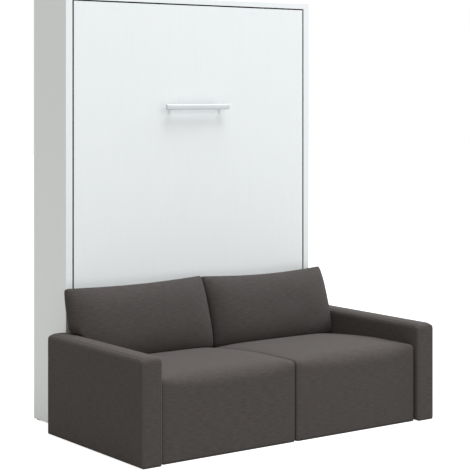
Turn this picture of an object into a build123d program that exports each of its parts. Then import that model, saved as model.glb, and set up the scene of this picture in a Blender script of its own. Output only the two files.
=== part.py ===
"""Wall bed that folds down over a two-seat sofa.

Millimetres, +Z up, +Y towards the wall, +X to the right of someone facing the wall.
The origin is the middle of the footprint, on the floor. The bed is modelled folded up.
"""

import os
from math import atan2, cos, degrees, pi, radians, sin, sqrt, tan

from build123d import *

os.makedirs("parts", exist_ok=True)

# Mattress and its straps
mattress_width = 1400.0
mattress_length = 1900.0
mattress_thickness = 150.0
mattress_corner = 60.0
mattress_border = 18.0
mattress_wall = 25.0
mattress_lift = 18.0
mattress_margin = 5.0
mattress_head_margin = 6.5
strap_width = 50.0
strap_thickness = 2.0
strap_shares = (0.24, 0.8)
buckle_width = 66.0
buckle_height = 62.0
buckle_thickness = 5.0
seat_gap = 0.3

# Cabinet
cabinet_depth = 332.0
side_thickness = 38.0
top_thickness = 30.0
board_easing = 1.0
kick_thickness = 18.0
kick_floor_gap = 12.0
rear_thickness = 18.0
lower_rail_height = 100.0
upper_rail_height = 100.0
headboard_low = 760.0
headboard_height = 480.0
glide_height = 5.0
board_joint = 0.2
glide_size = 30.0
glide_inset = 40.0

# Front panel of the bed
facade_thickness = 22.0
facade_side_gap = 7.0
facade_top_gap = 6.5
facade_low = 232.0
facade_overhang = 26.75
kick_gap = 6.0

# Sofa envelope
sofa_reach = 880.6
arm_thickness = 112.5
arm_height = 498.0
arm_offset = 3.0
sofa_back_gap = 19.0
seat_setback = 17.7
seat_arm_gap = 3.0
seat_middle_gap = 5.0

# Frame tubes of the bed
tube_width = 40.0
tube_depth = 30.0
tube_wall = 2.0
frame_side_margin = 5.0
rail_margin = 11.0

# Sprung slats
slat_rows = 14
slat_width = 53.0
slat_thickness = 8.0
slat_end_margin = 60.0
slat_rail_lift = 2.5
cap_length = 32.0
cap_width = 58.0
cap_roof = 1.5
cap_end_wall = 2.0
cap_inset = 8.0
cap_middle_gap = 2.0
slat_end_play = 1.0
pocket_play = 0.3

# Main pivot
pivot_setback = 20.0
pivot_height = 495.0
pin_radius = 7.0
pin_shoulder_radius = 11.0
pin_shoulder_length = 8.0
running_clearance = 0.05
press_clearance = 0.15
bush_wall = 3.0
bush_flange = 2.0
bush_flange_thickness = 1.3
hub_wall = 5.0
pocket_clearance = 1.0
plate_thickness = 5.0
plate_length = 140.0
plate_depth = 66.0
plate_inset = 3.0
plate_corner = 8.0
bracket_thickness = 6.0
bracket_rail_inset = 2.0
bracket_above = 145.0
bracket_below = 195.0
web_height = 160.0
lever_back = 80.0
lever_down = 200.0
lever_end_radius = 14.0

# Gas struts
strut_anchor_back = 170.0
strut_anchor_rise = 525.0
strut_anchor_plate = 3.0
strut_anchor_size = 50.0
stud_radius = 4.0
stud_lip = 2.0
strut_radius = 11.0
strut_bore = 9.5
strut_side_gap = 11.5
eye_radius = 9.0
eye_thickness = 12.0
eye_neck_width = 12.0
strut_body_length = 416.0
strut_cap = 10.0
strut_gland = 12.0
rod_radius = 4.0
rod_clearance = 0.06
piston_length = 12.0
rod_inside = 90.0

# Folding legs
leg_end_margin = 20.8
leg_thickness = 5.0
leg_width = 30.0
leg_side_gap = 1.0
leg_foot_height = 14.0
leg_foot_spread = 4.0
leg_floor_gap = 0.3
shaft_radius = 10.0
shaft_wall = 2.0
shaft_bush_wall = 2.0

# Handle
handle_length = 398.0
handle_height = 28.0
handle_reach = 43.0
handle_bar = 12.0
handle_corner = 5.0
handle_post = 12.0
handle_post_inset = 39.0
handle_drop = 534.5

# Small steel parts
clip_leg = 30.0
clip_thickness = 3.0
clip_height = 40.0
clip_rows = 4
clip_end_margin = 110.0
angle_leg = 40.0
angle_thickness = 3.0
angle_width = 30.0
angle_inset = 70.0
wall_bracket_width = 70.0
wall_bracket_drop = 90.0
wall_bracket_reach = 60.0
wall_bracket_thickness = 4.0
wall_hole_radius = 5.0
wall_hole_drop = 45.0
wall_bracket_inset = 138.75
stop_width = 60.0
stop_drop = 14.0
stop_depth = 20.0
stop_inset = 138.75

# Sofa carcass
base_board = 18.0
base_height = 295.0
seat_side_cover = 8.0
seat_front_cover = 12.0
webbing_rows = 6
webbing_width = 60.0
webbing_thickness = 2.5
arm_board = 15.0
arm_side_cover = 8.0
arm_end_cover = 12.0
arm_top_cover = 14.0
arm_top_radius = 28.0
arm_end_radius = 12.0
connector_width = 60.0
connector_height = 90.0
connector_low = 120.0
connector_shares = (0.23, 0.79)
spacer_width = 100.0
spacer_height = 80.0
spacer_low = 70.0
spacer_inset = 90.0

# Seat cushions
seat_back_height = 352.0
seat_middle_height = 376.0
seat_front_height = 386.0
seat_crown = 20.0
seat_roll = 32.0
seat_side_radius = 11.0
crown_strips = 6
rim_strips = 2

# Back cushions, with places along the seam as shares of its length
cushion_length = 369.0
cushion_lean = 16.7
cushion_sole_tilt = 3.5
cushion_front_bulge = 96.0
cushion_back_bulge = 102.0
cushion_front_foot = 70.0
cushion_back_foot = 58.0
cushion_edge = 11.0
cushion_seam = 4.0
cushion_ear_dip = 17.0
cushion_foot_rise = 25.0
cushion_middle_gap = 8.0
cushion_arm_gap = 0.3
cushion_rest_gap = 0.8
cushion_wall = 22.0
cushion_over_arm = {"left": 42.0, "right": 15.0}
cushion_front_share = 0.5
cushion_back_share = 0.6
round_share = 0.9
sag_share = 0.33
side_power = 4
side_softness = 0.75
cushion_seam_share = 0.02
cushion_half_shares = (0.28, 0.52, 0.7, 0.83, 0.92, 0.975, 1.0)
cushion_strips = (8, 3, 8, 2)
filling_low_share = 0.25
filling_high_share = 0.8
filling_side_share = 0.62

# Places worked out from the sizes above
wall_y = (cabinet_depth + sofa_reach) / 2
front_y = wall_y - cabinet_depth
rail_outer = mattress_width / 2 + frame_side_margin
facade_x = rail_outer + facade_overhang
inner_x = facade_x + facade_side_gap
outer_x = inner_x + side_thickness
mattress_low = facade_low + mattress_margin
mattress_high = mattress_low + mattress_length
facade_top = mattress_high + mattress_head_margin
inner_top = facade_top + facade_top_gap
cabinet_height = inner_top + top_thickness
facade_rear = front_y + facade_thickness
kick_top = facade_low - kick_gap
rail_low = facade_low + rail_margin
rail_high = facade_top - rail_margin
rail_rear = facade_rear + tube_depth
rail_inner = rail_outer - tube_width
mattress_front = rail_rear + mattress_lift
mattress_rear = mattress_front + mattress_thickness
pivot_y = front_y + pivot_setback
pivot_z = pivot_height
bush_radius = pin_radius + running_clearance + bush_wall
hub_radius = bush_radius + hub_wall
pocket_reach = hub_radius + pocket_clearance
bracket_outer = rail_outer + bracket_thickness
lever_y = pivot_y + lever_back
lever_z = pivot_z - lever_down
anchor_y = front_y + strut_anchor_back
anchor_z = pivot_z + strut_anchor_rise
strut_x = bracket_outer + strut_side_gap
leg_y = facade_rear + tube_depth / 2
leg_inner = facade_x + leg_side_gap
leg_reach = pivot_z + leg_y - pivot_y - leg_floor_gap
leg_z = rail_high - leg_end_margin - leg_reach
shaft_bush_radius = shaft_radius + running_clearance + shaft_bush_wall
arm_inner = outer_x + arm_offset
arm_outer = arm_inner + arm_thickness
arm_front = front_y - sofa_reach
sofa_back = front_y - sofa_back_gap
seat_front = arm_front + seat_setback
seat_outer = arm_inner - seat_arm_gap
seat_inner = seat_middle_gap / 2
base_top = glide_height + base_height
base_front = seat_front + seat_front_cover
base_outer = seat_outer - seat_side_cover
base_inner = seat_inner + seat_side_cover
hands = (("left", -1), ("right", 1))


def block(x_pair, y_pair, z_pair, mode=Mode.ADD):
    """A straight-sided block between two planes each way."""
    pairs = (x_pair, y_pair, z_pair)
    with Locations([tuple((a + b) / 2 for a, b in pairs)]):
        Box(*(abs(b - a) for a, b in pairs), mode=mode)


def rod_along_x(x_pair, y, z, radius, mode=Mode.ADD):
    """A round bar, or a round hole, that lies along X."""
    with Locations(Location(((x_pair[0] + x_pair[1]) / 2, y, z), (0, 90, 0))):
        Cylinder(radius, abs(x_pair[1] - x_pair[0]), mode=mode)


def pad_on_floor(x, y):
    """A square plastic glide that stands on the floor."""
    half = glide_size / 2
    block((x - half, x + half), (y - half, y + half), (0, glide_height))


def finish(piece, name):
    """Names a finished piece and writes it."""
    piece.part.label = name
    export_step(piece.part, f"parts/{name}.step")


# Side panels: veneered boards that stand on the floor and carry every pivot
for hand, side in hands:
    with BuildPart() as side_panel:
        block(
            (side * inner_x, side * outer_x),
            (front_y, wall_y),
            (glide_height, cabinet_height),
        )
        chamfer(side_panel.faces().sort_by(Axis.Y)[0].edges().filter_by(Axis.Z), board_easing)
    finish(side_panel, f"side_panel_{hand}")

# Top panel: seated between the side panels
with BuildPart() as top_panel:
    block((-inner_x, inner_x), (front_y, wall_y), (inner_top, cabinet_height))
    chamfer(top_panel.faces().sort_by(Axis.Y)[0].edges().filter_by(Axis.X), board_easing)
finish(top_panel, "top_panel")

# Kick panel: closes the cabinet below the folding front, behind the sofa
with BuildPart() as kick_panel:
    block((-inner_x, inner_x), (front_y, front_y + kick_thickness), (kick_floor_gap, kick_top))
finish(kick_panel, "kick_panel")

# Rear boards: two rails tie the sides together, and a headboard covers the wall behind the pillows
rear_y = (wall_y - rear_thickness, wall_y)
with BuildPart() as lower_rear_rail:
    block((-inner_x, inner_x), rear_y, (kick_floor_gap, kick_floor_gap + lower_rail_height))
finish(lower_rear_rail, "lower_rear_rail")

with BuildPart() as headboard_panel:
    block((-inner_x, inner_x), rear_y, (headboard_low, headboard_low + headboard_height))
finish(headboard_panel, "headboard_panel")

wall_bracket_x = inner_x - wall_bracket_inset
wall_hole_z = inner_top - wall_hole_drop
wall_holes = [Location((side * wall_bracket_x, wall_y, wall_hole_z), (90, 0, 0)) for side in (-1, 1)]
with BuildPart() as upper_rear_rail:
    block((-inner_x, inner_x), rear_y, (inner_top - upper_rail_height, inner_top))
    with Locations(wall_holes):
        Cylinder(wall_hole_radius, 2 * cabinet_depth, mode=Mode.SUBTRACT)
finish(upper_rear_rail, "upper_rear_rail")

# Wall brackets: steel angles that clamp the upper rail and the top panel to the wall
with BuildPart() as wall_brackets:
    for side in (-1, 1):
        bracket_pair = [
            side * (wall_bracket_x + shift) for shift in (-wall_bracket_width / 2, wall_bracket_width / 2)
        ]
        block(
            bracket_pair,
            (rear_y[0] - wall_bracket_thickness, rear_y[0]),
            (inner_top - wall_bracket_drop, inner_top),
        )
        block(
            bracket_pair,
            (rear_y[0] - wall_bracket_reach, rear_y[0]),
            (inner_top - wall_bracket_thickness, inner_top),
        )
    with Locations(wall_holes):
        Cylinder(wall_hole_radius, 2 * cabinet_depth, mode=Mode.SUBTRACT)
finish(wall_brackets, "wall_brackets")

# Corner angles: steel angles that join the top panel to the side panels
with BuildPart() as corner_angles:
    for side in (-1, 1):
        for y in (rear_y[0] - angle_inset, rear_y[0] - angle_inset + angle_leg):
            angle_y = (y - angle_width / 2, y + angle_width / 2)
            block(
                (side * (inner_x - angle_leg), side * inner_x),
                angle_y,
                (inner_top - angle_thickness, inner_top),
            )
            block(
                (side * (inner_x - angle_thickness), side * inner_x),
                angle_y,
                (inner_top - angle_leg, inner_top),
            )
finish(corner_angles, "corner_angles")

# Closing stops: rubber blocks under the top panel, behind the front's upper edge
with BuildPart() as closing_stops:
    for side in (-1, 1):
        stop_x = side * (inner_x - stop_inset)
        block(
            (stop_x - stop_width / 2, stop_x + stop_width / 2),
            (facade_rear + seat_gap, facade_rear + seat_gap + stop_depth),
            (inner_top - stop_drop, inner_top),
        )
finish(closing_stops, "closing_stops")

# Cabinet glides under the side panels
with BuildPart() as cabinet_glides:
    for side in (-1, 1):
        for y in (front_y + glide_inset, wall_y - glide_inset):
            pad_on_floor(side * (inner_x + outer_x) / 2, y)
finish(cabinet_glides, "cabinet_glides")

# Pivot plates: a steel plate with a welded, shouldered pin on each side panel
plate_face = inner_x - plate_thickness
plate_y = (front_y + plate_inset, front_y + plate_inset + plate_depth)
for hand, side in hands:
    with BuildPart() as pivot_plate:
        block(
            (side * plate_face, side * inner_x),
            plate_y,
            (pivot_z - plate_length / 2, pivot_z + plate_length / 2),
        )
        chamfer(pivot_plate.edges().filter_by(Axis.X), plate_corner)
        rod_along_x((side * (rail_outer + seat_gap), side * plate_face), pivot_y, pivot_z, pin_radius)
        rod_along_x(
            (side * (plate_face - pin_shoulder_length), side * plate_face),
            pivot_y,
            pivot_z,
            pin_shoulder_radius,
        )
    finish(pivot_plate, f"pivot_plate_{hand}")

# Strut anchors: a small plate with a stud on each side panel
anchor_face = inner_x - strut_anchor_plate
for hand, side in hands:
    with BuildPart() as strut_anchor:
        block(
            (side * anchor_face, side * inner_x),
            (anchor_y - strut_anchor_size / 2, anchor_y + strut_anchor_size / 2),
            (anchor_z - strut_anchor_size / 2, anchor_z + strut_anchor_size / 2),
        )
        chamfer(strut_anchor.edges().filter_by(Axis.X), plate_corner)
        rod_along_x(
            (side * (strut_x - eye_thickness / 2 - stud_lip), side * anchor_face),
            anchor_y,
            anchor_z,
            stud_radius,
        )
    finish(strut_anchor, f"strut_anchor_{hand}")

# Front panel: one plain board, flush with the cabinet, pocketed behind for the pivots
with BuildPart() as facade_panel:
    block((-facade_x, facade_x), (front_y, facade_rear), (facade_low, facade_top))
    chamfer(facade_panel.faces().sort_by(Axis.Y)[0].edges(), board_easing)
    for side in (-1, 1):
        block(
            (side * (rail_outer - pocket_clearance), side * (facade_x + pocket_clearance)),
            (pivot_y - pocket_reach, facade_rear + pocket_clearance),
            (pivot_z - pocket_reach, pivot_z + pocket_reach),
            mode=Mode.SUBTRACT,
        )
finish(facade_panel, "facade_panel")

# Handle: an aluminium bar with a crowned face, on two posts fixed to the front from behind
bar_front = front_y - handle_reach
handle_z = facade_top - handle_drop
with BuildPart() as handle:
    block(
        (-handle_length / 2, handle_length / 2),
        (bar_front, bar_front + handle_bar),
        (handle_z - handle_height / 2, handle_z + handle_height / 2),
    )
    fillet(handle.faces().sort_by(Axis.Y)[0].edges().filter_by(Axis.X), handle_corner)
    for side in (-1, 1):
        post_x = side * (handle_length / 2 - handle_post_inset)
        block(
            (post_x - handle_post / 2, post_x + handle_post / 2),
            (bar_front + handle_bar, front_y),
            (handle_z - handle_post / 2, handle_z + handle_post / 2),
        )
finish(handle, "handle")


def tube_profile(plane, middle, width, height):
    """The hollow section of a rectangular tube, its middle placed on a plane."""
    with BuildSketch(plane) as profile:
        with Locations(middle):
            Rectangle(width, height)
            Rectangle(width - 2 * tube_wall, height - 2 * tube_wall, mode=Mode.SUBTRACT)
    return profile.sketch


tube_y = facade_rear + tube_depth / 2
cross_plane = Plane.YZ.offset(-rail_inner)
# Bed frame: five steel tubes, with holes for the leg shaft
shaft_hole_radius = shaft_bush_radius + press_clearance
for hand, side in hands:
    with BuildPart() as side_rail:
        rail_middle = (side * (rail_inner + rail_outer) / 2, tube_y)
        extrude(
            tube_profile(Plane.XY.offset(rail_low), rail_middle, tube_width, tube_depth),
            amount=rail_high - rail_low,
        )
        rod_along_x((side * rail_inner, side * rail_outer), leg_y, leg_z, shaft_hole_radius, Mode.SUBTRACT)
    finish(side_rail, f"bed_side_rail_{hand}")

with BuildPart() as centre_rail:
    centre_plane = Plane.XY.offset(rail_low + tube_width)
    extrude(
        tube_profile(centre_plane, (0, tube_y), tube_width, tube_depth),
        amount=rail_high - rail_low - 2 * tube_width,
    )
    rod_along_x((-tube_width / 2, tube_width / 2), leg_y, leg_z, shaft_hole_radius, Mode.SUBTRACT)
finish(centre_rail, "bed_centre_rail")

with BuildPart() as head_rail:
    head_middle = (tube_y, rail_low + tube_width / 2)
    extrude(tube_profile(cross_plane, head_middle, tube_depth, tube_width), amount=2 * rail_inner)
finish(head_rail, "bed_head_rail")

with BuildPart() as foot_rail:
    foot_middle = (tube_y, rail_high - tube_width / 2)
    extrude(tube_profile(cross_plane, foot_middle, tube_depth, tube_width), amount=2 * rail_inner)
finish(foot_rail, "bed_foot_rail")

# Clips: small angles that hold the front panel to the side rails
clip_pitch = (rail_high - rail_low - 2 * clip_end_margin) / (clip_rows - 1)
with BuildPart() as facade_clips:
    for side in (-1, 1):
        for row in range(clip_rows):
            clip_z = rail_low + clip_end_margin + row * clip_pitch
            clip_pair = (clip_z - clip_height / 2, clip_z + clip_height / 2)
            block(
                (side * (rail_inner - clip_leg), side * rail_inner),
                (facade_rear, facade_rear + clip_thickness),
                clip_pair,
            )
            block(
                (side * (rail_inner - clip_thickness), side * rail_inner),
                (facade_rear, rail_rear - clip_thickness),
                clip_pair,
            )
finish(facade_clips, "facade_clips")

# Sprung slats: two columns of bowed beech slats, their ends in moulded caps
slat_low = rail_low + tube_width + slat_end_margin
slat_pitch = (rail_high - tube_width - slat_end_margin - slat_low) / (slat_rows - 1)
slat_zs = [slat_low + row * slat_pitch for row in range(slat_rows)]
cap_outer_x = rail_outer - cap_inset
cap_middle_x = cap_middle_gap / 2
slat_x = (cap_middle_x + cap_end_wall + slat_end_play, cap_outer_x - cap_end_wall - slat_end_play)
slat_length = slat_x[1] - slat_x[0]
slat_end_y = rail_rear + slat_rail_lift
slat_bow = mattress_front - seat_gap - slat_thickness - slat_end_y
inside_share = 2 * (cap_length - cap_end_wall - slat_end_play) / slat_length
rise_in_pocket = slat_bow * (1 - (1 - inside_share) ** 2)
pocket_y = (slat_end_y - pocket_play, slat_end_y + slat_thickness + rise_in_pocket + pocket_play)
for hand, side in hands:
    with BuildPart() as slats:
        for z in slat_zs:
            with BuildSketch(Plane.XY.offset(z - slat_width / 2)):
                with BuildLine():
                    ends = [side * x for x in slat_x]
                    middle = sum(ends) / 2
                    low = slat_end_y
                    high = slat_end_y + slat_thickness
                    ThreePointArc((ends[0], low), (middle, low + slat_bow), (ends[1], low))
                    Line((ends[1], low), (ends[1], high))
                    ThreePointArc((ends[1], high), (middle, high + slat_bow), (ends[0], high))
                    Line((ends[0], high), (ends[0], low))
                make_face()
            extrude(amount=slat_width)
    finish(slats, f"slats_{hand}")

with BuildPart() as slat_caps:
    for side in (-1, 1):
        for z in slat_zs:
            for near, far in (
                (cap_middle_x, cap_middle_x + cap_length),
                (cap_outer_x, cap_outer_x - cap_length),
            ):
                inward = cap_end_wall if far > near else -cap_end_wall
                block(
                    (side * near, side * far),
                    (rail_rear, pocket_y[1] + cap_roof),
                    (z - cap_width / 2, z + cap_width / 2),
                )
                block(
                    (side * (near + inward), side * (far + inward)),
                    pocket_y,
                    (z - slat_width / 2 - pocket_play, z + slat_width / 2 + pocket_play),
                    mode=Mode.SUBTRACT,
                )
finish(slat_caps, "slat_caps")

# Mattress: rounded corners and soft borders, with a sprung hollow inside its felt and ticking
with BuildPart() as mattress:
    block(
        (-mattress_width / 2, mattress_width / 2),
        (mattress_front, mattress_rear),
        (mattress_low, mattress_high),
    )
    fillet(mattress.edges().filter_by(Axis.Y), mattress_corner)
    chamfer(mattress.faces().filter_by(Axis.Y).edges(), mattress_border)
    block(
        (-mattress_width / 2 + mattress_wall, mattress_width / 2 - mattress_wall),
        (mattress_front + mattress_wall, mattress_rear - mattress_wall),
        (mattress_low + mattress_wall, mattress_high - mattress_wall),
        mode=Mode.SUBTRACT,
    )
finish(mattress, "mattress")

# Straps: two webbing bands that hold the mattress while the bed is up
strap_x = mattress_width / 2 + seat_gap
strap_y = mattress_rear + seat_gap
strap_zs = [mattress_low + share * mattress_length for share in strap_shares]
with BuildPart() as mattress_straps:
    for z in strap_zs:
        with BuildSketch(Plane.XY.offset(z - strap_width / 2)):
            with BuildLine():
                FilletPolyline(
                    (-strap_x, rail_rear),
                    (-strap_x, strap_y),
                    (strap_x, strap_y),
                    (strap_x, rail_rear),
                    radius=mattress_border,
                )
                offset(amount=strap_thickness, side=Side.LEFT)
            make_face()
        extrude(amount=strap_width)
finish(mattress_straps, "mattress_straps")

# Buckles: one on each strap, in the middle of the mattress
buckle_y = strap_y + strap_thickness
with BuildPart() as strap_buckles:
    for z in strap_zs:
        block(
            (-buckle_width / 2, buckle_width / 2),
            (buckle_y, buckle_y + buckle_thickness),
            (z - buckle_height / 2, z + buckle_height / 2),
        )
    chamfer(strap_buckles.edges().filter_by(Axis.Y), plate_corner)
finish(strap_buckles, "strap_buckles")

# Bed brackets: a steel plate on each side rail, with the pivot hub and the strut's lever
bracket_y = (facade_rear + bracket_rail_inset, rail_rear)
for hand, side in hands:
    plane_x = side * rail_outer if side > 0 else side * bracket_outer
    with BuildPart() as bed_bracket:
        with BuildSketch(Plane.YZ.offset(plane_x)):
            with Locations((lever_y, lever_z)):
                Circle(lever_end_radius)
            with Locations((sum(bracket_y) / 2, pivot_z - bracket_below + web_height / 2)):
                Rectangle(bracket_y[1] - bracket_y[0], web_height)
            make_hull()
            bracket_z = (pivot_z - bracket_below, pivot_z + bracket_above)
            with Locations((sum(bracket_y) / 2, sum(bracket_z) / 2)):
                Rectangle(bracket_y[1] - bracket_y[0], bracket_z[1] - bracket_z[0])
            with Locations((pivot_y, pivot_z)):
                Circle(hub_radius)
                Circle(bush_radius + press_clearance, mode=Mode.SUBTRACT)
        extrude(amount=bracket_thickness)
    finish(bed_bracket, f"bed_bracket_{hand}")

# Pivot bushes: flanged plain bearings in the brackets' hubs
with BuildPart() as pivot_bushes:
    for side in (-1, 1):
        flange_x = bracket_outer + bush_flange_thickness
        rod_along_x((side * (rail_outer + seat_gap), side * flange_x), pivot_y, pivot_z, bush_radius)
        rod_along_x((side * bracket_outer, side * flange_x), pivot_y, pivot_z, bush_radius + bush_flange)
        rod_along_x(
            (side * rail_outer, side * plate_face),
            pivot_y,
            pivot_z,
            pin_radius + running_clearance,
            Mode.SUBTRACT,
        )
finish(pivot_bushes, "pivot_bushes")

# Leg shaft: a torsion tube across the bed that turns both legs together
with BuildPart() as leg_shaft:
    rod_along_x((-leg_inner, leg_inner), leg_y, leg_z, shaft_radius)
    rod_along_x((-leg_inner, leg_inner), leg_y, leg_z, shaft_radius - shaft_wall, Mode.SUBTRACT)
finish(leg_shaft, "leg_shaft")

# Shaft bushes: plain bearings in the side rails and the centre rail
with BuildPart() as shaft_bushes:
    for near, far in (
        (-rail_outer, -rail_inner),
        (-tube_width / 2, tube_width / 2),
        (rail_inner, rail_outer),
    ):
        rod_along_x((near, far), leg_y, leg_z, shaft_bush_radius)
    rod_along_x((-leg_inner, leg_inner), leg_y, leg_z, shaft_radius + running_clearance, Mode.SUBTRACT)
finish(shaft_bushes, "shaft_bushes")

# Legs: flat bars in the side gaps, folded flat beside the frame while the bed is up
leg_bar_top = leg_z + leg_reach - leg_foot_height
for hand, side in hands:
    plane_x = leg_inner if side > 0 else -leg_inner - leg_thickness
    with BuildPart() as leg:
        with BuildSketch(Plane.YZ.offset(plane_x)):
            with Locations((leg_y, leg_z)):
                Circle(leg_width / 2)
            with Locations((leg_y, (leg_z + leg_bar_top) / 2)):
                Rectangle(leg_width, leg_bar_top - leg_z)
        extrude(amount=leg_thickness)
    finish(leg, f"leg_{hand}")

# Leg feet: rubber shoes on the legs' tips
with BuildPart() as leg_feet:
    for side in (-1, 1):
        foot_half = leg_width / 2
        with BuildSketch(Plane.YZ.offset(leg_inner if side > 0 else -leg_inner - leg_thickness)):
            with BuildLine():
                Polyline(
                    (leg_y - foot_half, leg_bar_top),
                    (leg_y + foot_half, leg_bar_top),
                    (leg_y + foot_half + leg_foot_spread, leg_bar_top + leg_foot_height),
                    (leg_y - foot_half - leg_foot_spread, leg_bar_top + leg_foot_height),
                    close=True,
                )
            make_face()
        extrude(amount=leg_thickness)
finish(leg_feet, "leg_feet")

# Gas struts: each leans from its anchor down to the bracket's lever
strut_dy = lever_y - anchor_y
strut_dz = lever_z - anchor_z
strut_length = sqrt(strut_dy**2 + strut_dz**2)
open_dy = pivot_y + lever_down - anchor_y
open_dz = pivot_z + lever_back - anchor_z
strut_open_length = sqrt(open_dy**2 + open_dz**2)
strut_stroke = strut_length - strut_open_length
strut_swing = degrees(atan2(open_dy, -open_dz) - atan2(strut_dy, -strut_dz))
print(f"strut length {strut_length:.3f}, stroke {strut_stroke:.3f}, swing {strut_swing:.4f} degrees")
body_start = eye_radius + eye_neck_width / 2
body_end = body_start + strut_body_length
piston_start = body_end - rod_inside
for hand, side in hands:
    strut_plane = Plane(
        origin=(side * strut_x, anchor_y, anchor_z), x_dir=(1, 0, 0), z_dir=(0, strut_dy, strut_dz)
    )
    eye_pair = (side * (strut_x - eye_thickness / 2), side * (strut_x + eye_thickness / 2))
    with BuildPart() as strut_cylinder:
        with BuildSketch(strut_plane):
            Rectangle(eye_thickness, eye_neck_width)
        extrude(amount=body_start)
        rod_along_x(eye_pair, anchor_y, anchor_z, eye_radius)
        rod_along_x(eye_pair, anchor_y, anchor_z, stud_radius + running_clearance, Mode.SUBTRACT)
        with BuildSketch(strut_plane.offset(body_start)):
            Circle(strut_radius)
        extrude(amount=strut_body_length)
        with BuildSketch(strut_plane.offset(body_start + strut_cap)):
            Circle(strut_bore)
        extrude(amount=strut_body_length - strut_cap - strut_gland, mode=Mode.SUBTRACT)
        with BuildSketch(strut_plane.offset(body_end - strut_gland)):
            Circle(rod_radius + rod_clearance)
        extrude(amount=strut_gland, mode=Mode.SUBTRACT)
    finish(strut_cylinder, f"strut_cylinder_{hand}")

    with BuildPart() as strut_rod:
        with BuildSketch(strut_plane.offset(piston_start)):
            Circle(strut_bore - rod_clearance)
        extrude(amount=piston_length)
        with BuildSketch(strut_plane.offset(piston_start)):
            Circle(rod_radius)
        extrude(amount=strut_length - piston_start)
        rod_along_x(eye_pair, lever_y, lever_z, eye_radius)
        rod_along_x((side * (bracket_outer + seat_gap), side * strut_x), lever_y, lever_z, stud_radius)
    finish(strut_rod, f"strut_rod_{hand}")

# Seat bases: two plywood boxes, each with a middle bearer, webbed across the top
for hand, side in hands:
    base_y = (base_front, sofa_back)
    with BuildPart() as seat_base:
        for x in (base_inner, base_outer - base_board):
            block((side * x, side * (x + base_board)), base_y, (glide_height, base_top))
        inner_pair = (
            side * (base_inner + base_board + board_joint),
            side * (base_outer - base_board - board_joint),
        )
        for y in (base_front, sofa_back - base_board):
            block(inner_pair, (y, y + base_board), (glide_height, base_top))
        bearer_y = (base_front + sofa_back - base_board) / 2
        block(inner_pair, (bearer_y, bearer_y + base_board), (glide_height, base_top))
    finish(seat_base, f"seat_base_{hand}")

    webbing_span = sofa_back - base_front - 2 * webbing_width
    webbing_pitch = webbing_span / (webbing_rows - 1)
    with BuildPart() as webbing:
        for row in range(webbing_rows):
            y = base_front + webbing_width + row * webbing_pitch
            block(
                (side * base_inner, side * base_outer),
                (y - webbing_width / 2, y + webbing_width / 2),
                (base_top, base_top + webbing_thickness),
            )
    finish(webbing, f"seat_webbing_{hand}")

# Seat cushions: foam under a loose cover that falls to the floor, crowned, with a rolled front
seat_width = seat_outer - seat_inner
seat_middle_y = (seat_front + sofa_back) / 2
crown_shares = [(i / crown_strips, sin(pi * i / crown_strips)) for i in range(crown_strips + 1)]
rim_angles = [90 * i / rim_strips for i in range(rim_strips + 1)]


def seat_top_points(lift_share, inset):
    """Three points of the cushion's top: behind its roll, in the middle and at the back."""
    lift = lift_share * seat_crown - inset
    return (
        (seat_front + seat_roll, seat_front_height + lift),
        (seat_middle_y, seat_middle_height + lift),
        (sofa_back, seat_back_height + lift),
    )


def seat_section(x, lift_share, inset):
    """The cushion's outline from front to back at x, drawn in by an inset at its front and top."""
    roll_top, middle, back = seat_top_points(lift_share, inset)
    front = seat_front + inset
    roll = roll_top[0] - front
    with BuildSketch(Plane.YZ.offset(x)) as section:
        with BuildLine():
            Line((sofa_back, glide_height), (front, glide_height))
            Line((front, glide_height), (front, roll_top[1] - roll))
            RadiusArc((front, roll_top[1] - roll), roll_top, roll)
            ThreePointArc(roll_top, middle, back)
            Line(back, (sofa_back, glide_height))
        make_face()
    return section.sketch


for hand, side in hands:
    crown_x = side * (seat_inner + seat_side_radius)
    crown_width = side * (seat_width - 2 * seat_side_radius)
    with BuildPart() as seat_cushion:
        loft(
            [seat_section(crown_x + share * crown_width, lift, 0) for share, lift in crown_shares],
            ruled=True,
        )
        for rim_x, outward in ((crown_x, -side), (crown_x + crown_width, side)):
            loft(
                [
                    seat_section(
                        rim_x + outward * seat_side_radius * sin(radians(angle)),
                        0,
                        seat_side_radius * (1 - cos(radians(angle))),
                    )
                    for angle in rim_angles
                ],
                ruled=True,
            )
        block(
            (side * base_inner, side * base_outer),
            (base_front, sofa_back + seat_roll),
            (0, base_top + webbing_thickness + seat_gap),
            mode=Mode.SUBTRACT,
        )
    finish(seat_cushion, f"seat_cushion_{hand}")

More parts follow.
